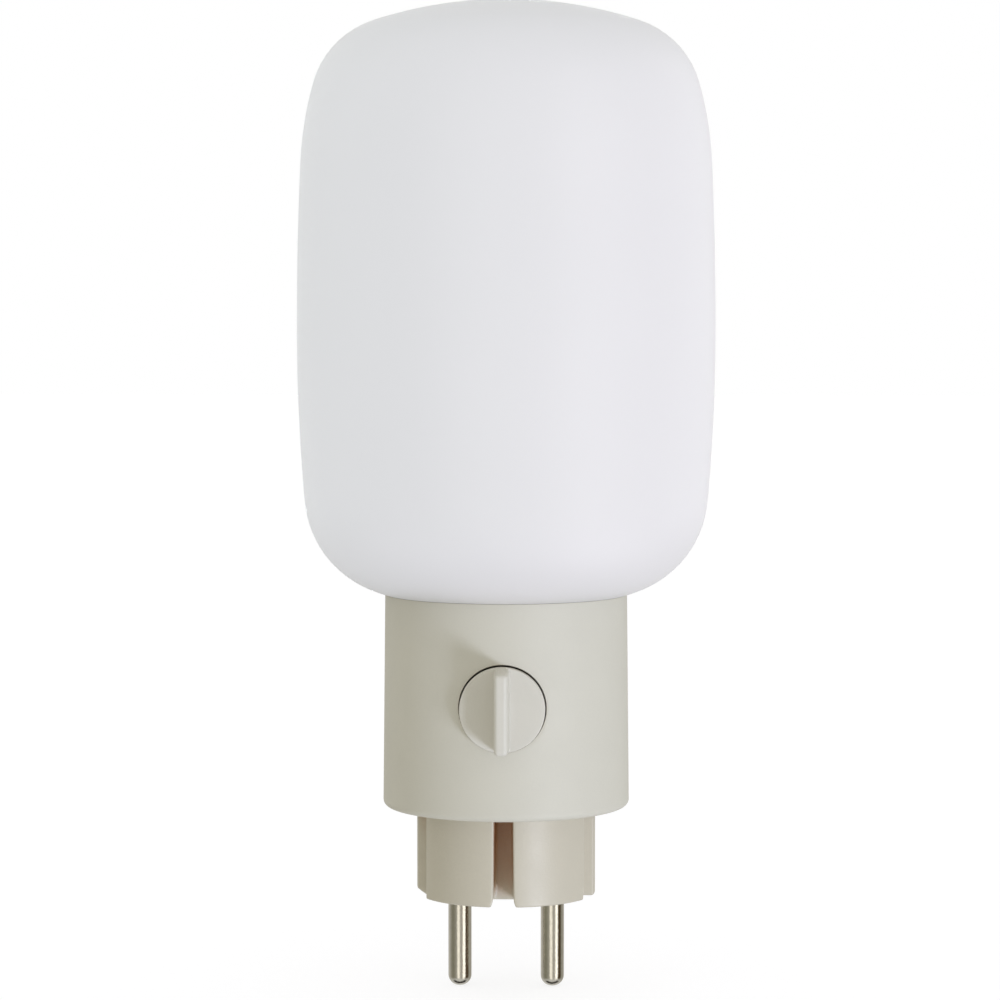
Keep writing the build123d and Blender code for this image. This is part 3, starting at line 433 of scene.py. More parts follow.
def cavity_ring(radius, height):
    """A ring of the cavity: the circle of this radius, dented by each boss's near side."""
    angles = ring_angles(radius)
    points = np.column_stack((radius * np.cos(angles), radius * np.sin(angles)))
    reach = (radius**2 - boss_circle**2 - boss_radius**2) / (2 * boss_circle * boss_radius)
    first = acos(reach)
    share = np.arange(boss_cells) / boss_cells
    swing = -first - (2 * pi - 2 * first) * share
    for number, place in enumerate(boss_angles):
        centre = radians(place)
        start = number * (boss_cells + wall_cells)
        along = boss_circle + boss_radius * np.cos(swing)
        across = boss_radius * np.sin(swing)
        points[start : start + boss_cells, 0] = along * cos(centre) - across * sin(centre)
        points[start : start + boss_cells, 1] = along * sin(centre) + across * cos(centre)
    return level(points, height)


def hole_patch(rings, first_row, first_column, radius_at, edge, turn=None):
    """Ring-shaped patch on the round wall between a block of the grid and the knob's hole.

    Round the block's rim runs one row of points; each goes straight in to the hole's circle, and
    every point is laid on the wall by y = -sqrt(R(z)^2 - x^2). Returns the patch and its points'
    angles about the hole; given the outer wall's angles, it makes the inner wall's patch, whose
    block runs downwards.
    """
    block = rings[first_row:, first_column:][: block_rows + 1, : block_cells + 1]
    outwards = turn is None
    if not outwards:
        block = block[::-1]
    rim = np.concatenate((block[0, :-1], block[:-1, -1], block[-1, :0:-1], block[:0:-1, 0]))
    if outwards:
        turn = np.arctan2(rim[:, 2] - hole_axis, rim[:, 0])
    hole = (knob_hole + edge) * np.column_stack((np.cos(turn), np.sin(turn)))
    share = np.linspace(0, 1, 5)[:, None]
    x = rim[:, 0] + (hole[:, 0] - rim[:, 0]) * share
    z = rim[:, 2] + (hole_axis + hole[:, 1] - rim[:, 2]) * share
    y = -np.sqrt(radius_at(z) ** 2 - x**2)
    loops = [np.stack((x, y, z), axis=-1)]
    for step in np.radians(np.linspace(0, 90, 5)[1:]):
        loop_radius = knob_hole + edge * (1 - sin(step))
        loop_x = loop_radius * np.cos(turn)
        loop_z = hole_axis + loop_radius * np.sin(turn)
        surface = -np.sqrt(radius_at(hole_axis + hole[:, 1]) ** 2 - hole[:, 0] ** 2)
        depth = edge * (1 - cos(step)) * (1 if outwards else -1)
        loops.append(np.stack((loop_x, surface + depth, loop_z), axis=-1)[None])
    return np.concatenate(loops), turn


def without_block(rings, first_row, first_column):
    """The grid's faces but those of the block where the knob's hole goes."""
    points, faces = quads(rings)
    keep = np.ones((len(rings) - 1, rings.shape[1]), bool)
    keep[first_row : first_row + block_rows, first_column : first_column + block_cells] = False
    return points, faces[keep.ravel()]


def make_housing():
    """Housing: a turned tapered cup, its cavity dented by three bosses, with the knob's hole in
    front."""
    angles = ring_angles(housing_inner)
    taper = degrees(atan(housing_flare / (housing_top - housing_bottom)))
    foot_z = housing_bottom + housing_foot_round
    foot_r = wall_radius(foot_z) - housing_foot_round / cos(radians(taper))
    rim_slope = glass_under(housing_rim_radius) - glass_under(housing_inner)
    low, high = knob_axis - block_half, knob_axis + block_half
    rim_high = housing_top - 2 * housing_edge
    side = np.vstack(
        (
            arc((foot_r, foot_z), housing_foot_round, -90, taper, 9),
            [(wall_radius(z), z) for z in np.linspace(foot_z + housing_foot_ring, low, 5)],
            [(wall_radius(z), z) for z in np.linspace(low, high, block_rows + 1)[1:]],
            [(wall_radius(z), z) for z in np.linspace(high, rim_high, 6)[1:-1]],
        )
    )
    rim_top = housing_top + housing_rim_lift
    rim_points = 7
    rim = rounded(
        [
            (wall_radius(rim_high), rim_high),
            (housing_rim_radius, rim_top),
            (housing_inner, rim_top - rim_slope),
            (housing_inner, carrier_bottom),
        ],
        [0, housing_rim_edge, housing_rim_edge, 0],
        rim_points,
    )[rim_points - 1 : 3 * rim_points + 1]
    outer_rings = lathe(without_repeats(np.vstack((side, rim))), angles)
    block_row = int(np.argmin(np.abs(side[:, 1] - low)))
    front = boss_cells + wall_cells + boss_cells + (wall_cells - block_cells) // 2
    inner_z = np.concatenate(
        (
            np.linspace(high, low, block_rows + 1),
            np.linspace(low, housing_floor_top + housing_inner_round, 5)[1:],
        )
    )
    fillet_turn = np.radians(np.linspace(0, 90, 6)[1:])
    fillet_r = housing_inner - housing_inner_round * (1 - np.cos(fillet_turn))
    fillet_z = housing_floor_top + housing_inner_round * (1 - np.sin(fillet_turn))
    cavity = np.stack(
        [cavity_ring(housing_inner, z) for z in inner_z]
        + [cavity_ring(r, z) for r, z in zip(fillet_r, fillet_z)]
    )

    def cavity_radius(height):
        """Radius of the cavity, the same at every height."""
        return np.full_like(height, housing_inner)

    outer_hole, turn = hole_patch(outer_rings, block_row, front, wall_radius, housing_edge)
    inner_hole, _ = hole_patch(cavity, 0, front, cavity_radius, housing_edge, turn)
    inwards = np.linspace(0, 1, 4)[:, None, None]
    tunnel = outer_hole[-1] + (inner_hole[-1] - outer_hole[-1]) * inwards
    holes = [circle_at(place, pin_tail + slip_gap) for place in pin_places]
    holes += [circle_at(place, plug_screw_radius + slip_gap) for place in plug_screw_places]
    under = flat_face([outer_rings[0][:, :2]] + holes, housing_bottom, upwards=False)
    floor = flat_face([cavity[-1][:, :2]] + holes, housing_floor_top)
    patches = [
        without_block(outer_rings, block_row, front),
        without_block(cavity, 0, front),
        quads(outer_hole),
        quads(inner_hole),
        quads(tunnel),
        under,
        floor,
    ]
    patches += [tube([(hole, housing_bottom), (hole, housing_floor_top)]) for hole in holes]
    bore_floor = carrier_bottom - boss_bore_depth
    plain = outer_rings[-1][:, :2]
    dented = cavity[0][:, :2]
    for number, place in enumerate(boss_angles):
        start = number * (boss_cells + wall_cells)
        span = np.arange(start, start + boss_cells + 1)
        outline = np.vstack((plain[span], dented[span][::-1][1:-1]))
        centre = (boss_circle * cos(radians(place)), boss_circle * sin(radians(place)))
        bore = circle_at(centre, boss_bore)
        patches.append(flat_face([outline, bore], carrier_bottom))
        patches.append(tube([(bore, carrier_bottom), (bore, bore_floor)]))
        patches.append(flat_face([bore], bore_floor))
    return make_piece("housing_shell", patches)


def plug_outline(inset, draft, flare):
    """The plug's level outline: a round, cut by two flats beside each key and by two slots.

    inset moves the round, the flats, the keys and the slots' floors inwards. draft moves the slots'
    floors and sides into the body, and flare their sides alone.
    """
    radius = plug_radius - inset
    flat = plug_flat_x - inset
    key = plug_key_y - inset
    slot = plug_slot_x + draft + flare
    slot_floor = plug_slot_y - inset - draft
    outer = plug_corner * (1 - plug_corner_thinning * inset / plug_edge)
    inner = plug_corner + inset
    tight = plug_key_corner * outer
    start = -degrees(acos(slot / radius))
    end = -degrees(acos(flat / radius))
    side = degrees(acos(sqrt(radius**2 - key**2) / radius))
    quarter_arc = arc((0, 0), radius, start, end, (end - start) / 20)
    key_arc = arc((0, 0), radius, -side, side, side / 3)
    corners = np.vstack(
        (
            [(slot, -slot_floor)],
            quarter_arc,
            [(flat, -key)],
            key_arc,
            [(flat, key)],
            quarter_arc[::-1] * (1, -1),
            [(slot, slot_floor)],
        )
    )
    count = len(quarter_arc)
    keys = len(key_arc)
    soft = np.zeros(len(corners))
    soft[[0, -1]] = plug_slot_corner
    soft[[1, count, count + keys + 3, 2 * count + keys + 2]] = (outer, tight, tight, outer)
    soft[[count + 1, count + keys + 2]] = plug_inner_corner * inner
    soft[[count + 2, count + keys + 1]] = tight
    whole = np.vstack((corners, corners * (-1, -1)))
    return rounded(whole, np.concatenate((soft, soft)), 5)


def make_plug_body():
    """Plug body: rings of its outline, drawn in at the contact face, over a hollow with its bosses.

    Towards the contact face the slots' sides flare by a quarter of an ellipse, and the left key's
    reach beyond the flats shrinks evenly.
    """
    turns = np.radians(np.linspace(0, 90, 7))
    edge_z = plug_edge * (1 - np.sin(turns))
    edge_inset = plug_edge * (1 - np.cos(turns))
    levels = [(z, inset) for z, inset in zip(edge_z[::-1], edge_inset[::-1])]
    levels += [(z, 0.0) for z in np.linspace(plug_edge, plug_foot, 10)[1:]]
    levels += [(z, 0.0) for z in np.linspace(plug_foot, plug_top, 8)[1:]]
    rings = []
    for height, inset in levels:
        below = max(0.0, 1 - height / plug_foot)
        flare = plug_slot_flare * (1 - sqrt(1 - below**2))
        outline = plug_outline(inset, plug_slot_draft * (1 - height / plug_top), flare)
        cut = plug_key_cut * max(0.0, 1 - height / plug_key_cut_height)
        outline[:, 0] += cut * np.maximum(-outline[:, 0] - plug_flat_x, 0)
        rings.append(level(outline, height))
    rings = np.stack(rings)
    seats, shanks, collars = (
        [circle_at(place, radius + running_gap, plug_round_step) for place in pin_places]
        for radius in (pin_radius, pin_shank, pin_collar)
    )
    pilots = [circle_at(place, plug_screw_radius + running_gap) for place in plug_screw_places]
    inner = plug_radius - plug_wall
    inner_flat = plug_flat_x - plug_wall
    side = degrees(acos(inner_flat / inner))
    block_x = plug_slot_x + plug_wall
    block_y = plug_slot_y - plug_wall
    quarter = arc((0, 0), inner, side, degrees(acos(block_x / inner)), 4)
    slot_block = [(block_x, block_y), (-block_x, block_y)]
    back_half = np.vstack((quarter, slot_block, quarter[::-1] * (-1, 1)))
    hollow = np.vstack((back_half, -back_half))
    bosses = [circle_at(place, pin_boss, plug_round_step) for place in pin_places]
    bosses += [circle_at(place, plug_screw_boss) for place in plug_screw_places]
    # The outlines by number: 0 the body's, 1 the hollow's, 2 to 5 the bosses', 6 to 9 the openings'
    plan = [rings[-1][:, :2], hollow] + bosses + collars + pilots
    solid_parts = {2, 3, 4, 5}
    openings = {6, 7, 8, 9}

    def in_hollow(owners):
        """Inside the hollow's outline and outside every boss."""
        return 1 in owners and not owners & (solid_parts | openings)

    def on_top(owners):
        """On the body's top face."""
        return 0 in owners and not in_hollow(owners) and not owners & openings

    hollow_floor = flat_face(plan, plug_floor, in_hollow)
    patches = [
        quads(rings),
        hollow_floor,
        walls(hollow_floor[0], boundary(hollow_floor[1]), plug_top),
        flat_face(plan, plug_top, on_top),
        flat_face([rings[0][:, :2]] + seats, 0.0, upwards=False),
    ]
    seat_top = pin_seat + running_gap
    collar_floor = plug_top - pin_collar_height - running_gap
    for seat, shank, collar in zip(seats, shanks, collars):
        steps = [(seat, 0.0), (seat, seat_top), (shank, seat_top), (shank, collar_floor)]
        steps += [(collar, collar_floor), (collar, plug_top)]
        patches.append(tube(steps))
    pilot_foot = plug_top - plug_screw_depth - running_gap
    for pilot in pilots:
        patches.append(tube([(pilot, pilot_foot), (pilot, plug_top)]))
        patches.append(flat_face([pilot], pilot_foot))
    return make_piece("plug_moulding", patches)


def make_pin(name, x):
    """Contact pin: one turning, from its round nose over a coned shoulder to the tail, moved to its
    place along X."""
    nose = arc((pin_radius - pin_tip_round, pin_tip + pin_tip_round), pin_tip_round, -90, 0, 6)
    collar_floor = plug_top - pin_collar_height
    shoulder = pin_seat - (pin_radius - pin_shank)
    profile = np.vstack(
        (
            [(0.0, pin_tip)],
            nose,
            np.linspace((pin_radius, pin_tip + pin_tip_round), (pin_radius, shoulder), 10)[1:],
            [(pin_shank, pin_seat), (pin_shank, collar_floor), (pin_collar, collar_floor)],
            [(pin_collar, plug_top), (pin_tail, plug_top), (pin_tail, pin_top), (0.0, pin_top)],
        )
    )
    rings = lathe(profile, all_round(pin_columns))
    rings[:, :, 0] += x
    return make_piece(name, [quads(rings)])


def make_knob():
    """Knob: loops from the blade's front centre out over the blade, the disc, its rim and the stem,
    and into the bore.

    A loop is a rounded oblong on the blade and a circle elsewhere, with matching points.
    """
    side_steps, end_steps, corner_steps = 48, 6, 7
    disc_face = knob_front + blade_reach
    knob_back = disc_face + knob_thickness

    def oblong(inset, corner, depth=0.0):
        """Rounded oblong of the blade's root size, drawn in, and its ends by the draft at this depth
        over the disc, as points from its lower right corner on."""
        half_x = blade_width / 2 - inset
        drawn_in = depth * (tan(radians(blade_end_draft)) - tan(radians(blade_draft)))
        half_z = blade_length / 2 - inset - drawn_in
        right = np.column_stack(
            (np.full(side_steps, half_x), np.linspace(-half_z + corner, half_z - corner, side_steps))
        )
        turn = np.linspace(0, pi / 2, corner_steps + 1)[1:-1]
        top_right = np.column_stack(
            (half_x - corner + corner * np.cos(turn), half_z - corner + corner * np.sin(turn))
        )
        top = np.column_stack(
            (np.linspace(half_x - corner, -half_x + corner, end_steps), np.full(end_steps, half_z))
        )
        top_left = top_right[::-1] * (-1, 1)
        half = np.vstack((right, top_right, top, top_left))
        return np.vstack((half, -half))

    count = len(oblong(0, blade_edge)) // 2
    corner_angle = degrees(atan(blade_length / blade_width))
    half_angles = np.concatenate(
        (
            np.linspace(-corner_angle, corner_angle, side_steps),
            np.linspace(corner_angle, 180 - corner_angle, count - side_steps + 2)[1:-1],
        )
    )
    angles = np.radians(np.concatenate((half_angles, half_angles + 180)))
    circle = np.column_stack((np.cos(angles), np.sin(angles)))

    draft = tan(radians(blade_draft))
    reach = disc_face - knob_front
    narrowed = draft * reach
    flat = oblong(narrowed + blade_edge, blade_corner, reach)
    steps = [(flat * share, knob_front) for share in (0, 0.25, 0.5, 0.75)]
    for turn in np.radians(np.linspace(90, 0, 8)):
        inset = narrowed + blade_edge * (1 - cos(turn))
        corner = blade_corner + blade_edge * cos(turn)
        steps.append((oblong(inset, corner, reach), knob_front + blade_edge * (1 - sin(turn))))
    side_corner = blade_corner + blade_edge
    for y in np.linspace(knob_front + blade_edge, disc_face - blade_root, 8)[1:]:
        inset = draft * (disc_face - y)
        steps.append((oblong(inset, side_corner, disc_face - y), y))
    for turn in np.radians(np.linspace(0, 90, 5)[1:]):
        wider = blade_root * (1 - cos(turn))
        steps.append((oblong(-wider, side_corner), disc_face - blade_root * (1 - sin(turn))))
    root = oblong(-blade_root, side_corner)
    rim = circle * (knob_radius - knob_edge)
    steps += [(root + (rim - root) * share, disc_face) for share in np.linspace(0, 1, 6)[1:]]
    for turn in np.radians(np.linspace(90, 0, 6)[1:]):
        radius = knob_radius - knob_edge * (1 - cos(turn))
        steps.append((circle * radius, disc_face + knob_edge * (1 - sin(turn))))
    bore = circle * knob_bore
    bore[:, 1] = np.minimum(bore[:, 1], knob_bore_flat)
    steps += [
        (circle * knob_radius, knob_back - knob_back_edge),
        (circle * (knob_radius - knob_back_edge), knob_back),
        (circle * knob_stem, knob_back),
        (circle * knob_stem, stem_end),
        (bore, stem_end),
        (bore, knob_back),
        (bore * 0, knob_back),
    ]
    loops = [
        np.column_stack((shape[:, 0], np.full(len(shape), y), knob_axis + shape[:, 1]))
        for shape, y in steps
    ]
    return make_piece("dimmer_knob_cap", [quads(np.stack(loops))])


def put(tree, value, socket):
    """Feeds a socket: by a link from another node's output, or with a number, a vector or a colour."""
    if isinstance(value, bpy.types.NodeSocket):
        tree.links.new(value, socket)
    elif socket.type == "RGBA":
        socket.default_value = (*value, 1)
    else:
        socket.default_value = value


def outputs_of(tree, kind, inputs, **settings):
    """The outputs of a new node of a kind, with its settings and what feeds its inputs."""
    node = tree.nodes.new("ShaderNode" + kind)
    for setting, value in settings.items():
        setattr(node, setting, value)
    for socket, value in inputs.items():
        put(tree, value, node.inputs[socket])
    return node.outputs


def worked_out(tree, operation, *values):
    """The result of a Math node on one to three values."""
    return outputs_of(tree, "Math", dict(enumerate(values)), operation=operation)[0]


def spread(tree, value, low, high, to_low, to_high):
    """A value moved from one range to another, and held to its ends."""
    inputs = {"Value": value, "From Min": low, "From Max": high, "To Min": to_low, "To Max": to_high}
    return outputs_of(tree, "MapRange", inputs)["Result"]


def blended(tree, share, first, second, blend="MIX"):
    """A colour by a share of the way from one to another, or with MULTIPLY to their product."""
    inputs = {"Factor": share, "A": first, "B": second}
    return outputs_of(tree, "Mix", inputs, data_type="RGBA", blend_type=blend)["Result"]


def mixed_shaders(tree, share, first, second):
    """The first shader, and by a share the second."""
    return outputs_of(tree, "MixShader", {0: share, 1: first, 2: second})[0]


def new_group(name, inputs, outputs):
    """An empty node group with its named inputs and outputs, and the sockets inside it."""
    group = bpy.data.node_groups.new(name, "ShaderNodeTree")
    for direction, sockets in (("INPUT", inputs), ("OUTPUT", outputs)):
        for label, kind in sockets.items():
            group.interface.new_socket(name=label, in_out=direction, socket_type=kind)
    return group, group.nodes.new("NodeGroupInput").outputs, group.nodes.new("NodeGroupOutput").inputs


FLOAT, COLOR, VECTOR = "NodeSocketFloat", "NodeSocketColor", "NodeSocketVector"
noise_range = (0.3, 0.7)
grain_share = 0.35


def surface_group():
    """Worked surface: a slow mottle between two tones, its roughness, and a fine grain's height."""
    group, given, out = new_group(
        "Worked surface",
        {
            "Vector": VECTOR, "Tone": COLOR, "Deep tone": COLOR, "Mottle scale": FLOAT,
            "Grain scale": FLOAT, "Smooth": FLOAT, "Dull": FLOAT,
        },
        {"Color": COLOR, "Roughness": FLOAT, "Height": FLOAT},
    )

    def noise(scale, detail):
        """Noise at one of the group's scales, its usual range spread over 0 to 1."""
        inputs = {"Vector": given["Vector"], "Scale": given[scale], "Detail": detail}
        return spread(group, outputs_of(group, "TexNoise", inputs)["Fac"], *noise_range, 0.0, 1.0)

    slow = noise("Mottle scale", 3.0)
    fine = noise("Grain scale", 2.0)
    slow_part = spread(group, slow, 0.0, 1.0, 0.0, 1 - grain_share)
    share = worked_out(group, "MULTIPLY_ADD", fine, grain_share, slow_part)
    group.links.new(blended(group, share, given["Tone"], given["Deep tone"]), out["Color"])
    group.links.new(spread(group, share, 0.0, 1.0, given["Smooth"], given["Dull"]), out["Roughness"])
    group.links.new(fine, out["Height"])
    return group


def painted_shade_group():
    """Painted shade between walls: the less open a place, the more its colour takes on a dark shade
    colour, which paints the shade there.
    """
    group, given, out = new_group(
        "Painted shade between walls",
        {"Color": COLOR, "Openness": FLOAT, "Closed": FLOAT, "Open": FLOAT, "Shade": COLOR},
        {"Color": COLOR},
    )
    deep = spread(group, given["Openness"], given["Closed"], given["Open"], 1.0, 0.0)
    group.links.new(blended(group, deep, given["Color"], given["Shade"], "MULTIPLY"), out["Color"])
    return group


worked_surface = surface_group()
painted_wall_shade = painted_shade_group()
painted_shade_fade = 0.001


def finish(
    name, tone, deep, rough, mottle=60, grain=2500, relief=1e-5, metallic=0, stretch=(1, 1, 1),
    painted_shade=None, painted_shade_end=None,
):
    """A procedural finish: two near tones, a roughness range, a mottle, a grain and the grain's relief.

    stretch squeezes the pattern along an axis, which draws it out into brush marks. A shade between
    close walls, when given, is painted shade: by the openness that ambient occlusion reads, the
    colour takes on more of the shade's colour. It comes as that colour, how far the walls may stand
    off, and the openness of a fully closed and of an open place. Past its end, an axis and a place on
    it, no shade is painted.
    """
    material = bpy.data.materials.new(name)
    material.use_nodes = True
    tree = material.node_tree
    place = outputs_of(tree, "TexCoord", {})["Object"]
    inputs = {
        "Vector": outputs_of(tree, "Mapping", {"Vector": place, "Scale": stretch})["Vector"],
        "Tone": tone, "Deep tone": deep, "Mottle scale": mottle, "Grain scale": grain,
        "Smooth": rough[0], "Dull": rough[1],
    }
    surface = outputs_of(tree, "Group", inputs, node_tree=worked_surface)
    color = surface["Color"]
    # Painted shade: the colour darkens towards a shade colour where ambient occlusion finds close walls
    if painted_shade:
        shade, reach, closed, opened = painted_shade
        openness = outputs_of(tree, "AmbientOcclusion", {"Distance": reach}, samples=8)["AO"]
        if painted_shade_end:
            axis, end = painted_shade_end
            parts = outputs_of(tree, "SeparateXYZ", {"Vector": place})
            past = spread(tree, parts[axis], end, end + painted_shade_fade, 0.0, 1.0)
            openness = worked_out(tree, "MAXIMUM", openness, past)
        inputs = {"Openness": openness, "Closed": closed, "Open": opened, "Shade": shade}
        color = outputs_of(tree, "Group", {"Color": color, **inputs}, node_tree=painted_wall_shade)["Color"]
    bump = outputs_of(tree, "Bump", {"Strength": 1.0, "Distance": relief, "Height": surface["Height"]})
    shader = tree.nodes["Principled BSDF"].inputs
    put(tree, color, shader["Base Color"])
    put(tree, surface["Roughness"], shader["Roughness"])
    put(tree, metallic, shader["Metallic"])
    put(tree, bump["Normal"], shader["Normal"])
    return material


def near(tone, share):
    """A slightly deeper tone of the same colour."""
    return tuple(channel * share for channel in tone)


# Finishes of the pieces inside: name, tone, deep tone and roughness, and for some of them mottle,
# grain, relief and metallic
inner_finishes = {
    "copper_wire": (
        "enamelled_copper", (0.48, 0.13, 0.04), (0.38, 0.09, 0.03), (0.22, 0.32), 60, 2500, 1e-5, 1
    ),
    "steel": (
        "zinc_plated_steel", (0.55, 0.55, 0.53), (0.4675, 0.4675, 0.4505), (0.3, 0.45),
        500, 3e3, 4e-6, 1,
    ),
    "silicone": ("clear_white_silicone", (0.72, 0.71, 0.68), (0.66, 0.65, 0.62), (0.5, 0.6)),
    "ceramic": (
        "unglazed_steatite", (0.8, 0.77, 0.68), (0.72, 0.69, 0.6), (0.65, 0.8), 300, 3500, 2e-5
    ),
    "bulb_plastic": ("white_bulb_moulding", (0.84, 0.84, 0.82), (0.8, 0.8, 0.78), (0.3, 0.38)),
    "bulb_frost": ("frosted_cover", (0.88, 0.86, 0.8), (0.85, 0.83, 0.77), (0.45, 0.55), 60, 4e3, 3e-6),
    "circuit_board": ("green_solder_mask", (0.02, 0.12, 0.05), (0.01, 0.09, 0.035), (0.3, 0.4)),
    "yellow_case": ("yellow_film_case", (0.69, 0.45, 0.03), (0.62, 0.4, 0.02), (0.35, 0.45)),
    "black_mould": ("black_moulding", (0.02, 0.02, 0.02), (0.012, 0.012, 0.012), (0.5, 0.65)),
    "ferrite": ("sintered_ferrite", (0.03, 0.027, 0.027), (0.015, 0.014, 0.014), (0.55, 0.7)),
    "brown_insulation": ("brown_insulation", (0.09, 0.03, 0.012), (0.07, 0.022, 0.01), (0.4, 0.5)),
    "blue_insulation": ("blue_insulation", (0.01, 0.05, 0.27), (0.008, 0.04, 0.22), (0.4, 0.5)),
    "white_insulation": ("white_heatproof_moulding", (0.8, 0.8, 0.77), (0.74, 0.74, 0.71), (0.4, 0.5)),
    "phenolic": ("phenolic_laminate", (0.13, 0.05, 0.02), (0.1, 0.035, 0.012), (0.45, 0.55)),
    "led_chip": ("phosphor_chips", (0.85, 0.6, 0.07), (0.8, 0.52, 0.05), (0.3, 0.4)),
    "resistor_body": ("lacquered_resistors", (0.5, 0.36, 0.18), (0.44, 0.31, 0.15), (0.3, 0.4)),
    "brass": ("plain_brass", (0.62, 0.44, 0.18), (0.527, 0.374, 0.153), (0.28, 0.4), 400, 3e3, 4e-6, 1),
}


def make_finishes():
    """One finish for each material slot of the record, and the knob's, a little paler than the
    housing's: the paler tone is painted light, the light that the blade throws back onto the disc."""
    opal = (0.84, 0.85, 0.89)
    beige = (0.66, 0.635, 0.538)
    # The knob's beige is the housing's made paler: painted light, the blade's bounce on the disc
    knob_beige_painted_bounce = (0.696, 0.67, 0.586)
    plug_beige = (0.61, 0.565, 0.452)
    nickel = (0.66, 0.63, 0.56)
    moulded = (90, 2600, 9e-6)
    knob_reach = 0.0012
    slot_reach = 0.012
    walls_near = (0.12, 0.44)
    knob_margin = 0.001
    flat_margin = 0.0005
    ready = {slot: finish(*values) for slot, values in inner_finishes.items()}
    ready["nickel"] = finish(
        "brushed_nickel", nickel, near(nickel, 0.86), (0.12, 0.2), 900, 4200, 8e-6, 1, (1, 1, 0.8)
    )
    ready["opal_glass"] = finish(
        "etched_opal_glass", opal, near(opal, 0.985), (0.42, 0.5), 25, 5000, 2e-6,
        # Painted shade: the glass darkens where it comes down close to the housing
        painted_shade=((0.76, 0.76, 0.73), 0.016, 0.5, 0.94),
    )
    ready["beige_plastic"] = finish(
        "satin_beige_moulding", beige, near(beige, 0.965), (0.54, 0.64), *moulded,
        # Painted shade: the housing darkens in the narrow gap round the knob, and not above the knob
        painted_shade=((0.2, 0.13, 0.08), knob_reach, *walls_near),
        painted_shade_end=("Z", knob_high.z + knob_margin),
    )
    ready["knob"] = finish(
        "knob_moulding_painted_bounce", knob_beige_painted_bounce, near(knob_beige_painted_bounce, 0.965), (0.45, 0.55), *moulded,
        # Painted shade: the knob's side darkens nearly to black in its gap in the housing
        painted_shade=((0.1, 0.055, 0.025), knob_reach, *walls_near),
    )
    ready["plug_plastic"] = finish(
        "smooth_beige_moulding", plug_beige, near(plug_beige, 0.955), (0.36, 0.48), 120, 2200, 1.4e-5,
        # Painted shade: a warm brown shade in the slots, none beyond the flats beside the keys
        painted_shade=((0.9, 0.52, 0.32), slot_reach, *walls_near),
        painted_shade_end=("X", plug_flat_x - flat_margin),
    )
    return ready


def dress(piece, material):
    """Gives a piece its finish, in place of what it had."""
    piece.data.materials.clear()
    piece.data.materials.append(material)


finishes = make_finishes()
slots = {entry["node"]: entry["material_slot"] for entry in frame["record"]["subparts"]}
for node, cad_piece in frame["nodes"].items():
    dress(cad_piece, finishes[slots[node]])

made = [
    (make_glass(), "diffuser", "glass_shade"),
    (make_housing(), "housing", "base"),
    (make_plug_body(), "plug_body", "base"),
    (make_pin("live_contact_pin", -pin_x), "live_pin", "base"),
    (make_pin("neutral_contact_pin", pin_x), "neutral_pin", "base"),
    (make_knob(), "knob", "dimmer_knob"),
]
for piece, node, body in made:
    dress(piece, finishes.get(node, finishes[slots[node]]))
    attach(piece, body)
    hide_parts(node)

# Camera fitted to the photograph
camera_distance = 0.6843
camera_height = 0.12282
camera_round = radians(1.83)
camera_tilt = radians(90 - 3.5237)
camera_pan = radians(0.1053)
camera_data = bpy.data.cameras.new("photo_camera")
camera_data.lens = 120.97
camera_data.sensor_width = 36.0
camera = bpy.data.objects.new("photo_camera", camera_data)
camera.location = (
    camera_distance * sin(camera_round),
    -camera_distance * cos(camera_round),
    camera_height,
)
camera.rotation_euler = (camera_tilt, 0, camera_round + camera_pan)
bpy.context.scene.collection.objects.link(camera)
bpy.context.scene.camera = camera


def make_floor(half, pale_tone, seen_tone, seen_glow):
    """Floor: one wide level square at the pins' tips.

    To diffuse light it is pale. To the eye it is a glow with a little light on it, which come to
    white together, less the lamp's shadow.
    """
    corners = ((-half, -half), (half, -half), (half, half), (-half, half))
    mesh = bpy.data.meshes.new("studio_floor")
    mesh.from_pydata([(x, y, pin_tip) for x, y in corners], [], [(0, 1, 2, 3)])
    floor = bpy.data.objects.new("studio_floor", mesh)
    bpy.context.scene.collection.objects.link(floor)
    material = bpy.data.materials.new("pale_floor")
    material.use_nodes = True
    tree = material.node_tree
    tree.nodes.clear()
    pale = outputs_of(tree, "BsdfDiffuse", {"Color": pale_tone})[0]
    lit = outputs_of(tree, "BsdfDiffuse", {"Color": seen_tone})[0]
    glow = outputs_of(tree, "Emission", {"Strength": seen_glow})[0]
    seen = outputs_of(tree, "AddShader", {0: lit, 1: glow})[0]
    whole = mixed_shaders(tree, visible_rays(tree), pale, seen)
    outputs_of(tree, "OutputMaterial", {"Surface": whole})
    mesh.materials.append(material)
    floor.visible_shadow = False
    floor.visible_glossy = False


def visible_rays(tree):
    """1 for camera, glossy and transmission rays, by which the background is seen."""
    path = outputs_of(tree, "LightPath", {})
    either = worked_out(tree, "MAXIMUM", path["Is Camera Ray"], path["Is Glossy Ray"])
    return worked_out(tree, "MAXIMUM", either, path["Is Transmission Ray"])


# Tones of the surround, and each one's turn from the camera, to the right
backdrop = (0.72, 0.71, 0.68)
grey_side = (0.46, 0.45, 0.40)
dim_side = (0.28, 0.27, 0.21)
window = (1.45, 1.40, 1.28)
front_wall = (0.52, 0.50, 0.46)
lamp_strip = (2.0, 1.95, 1.85)
dark_side = (0.09, 0.06, 0.03)
surround_stretches = (
    (-180, backdrop), (-135, backdrop), (-105, grey_side), (-78, dim_side), (-60, dim_side),
    (-28, grey_side), (-20, window), (-4, window), (6, front_wall), (29, front_wall),
    (34, lamp_strip), (53, lamp_strip), (60, dark_side), (88, dark_side), (108, grey_side),
    (145, grey_side), (165, backdrop), (180, backdrop),
)

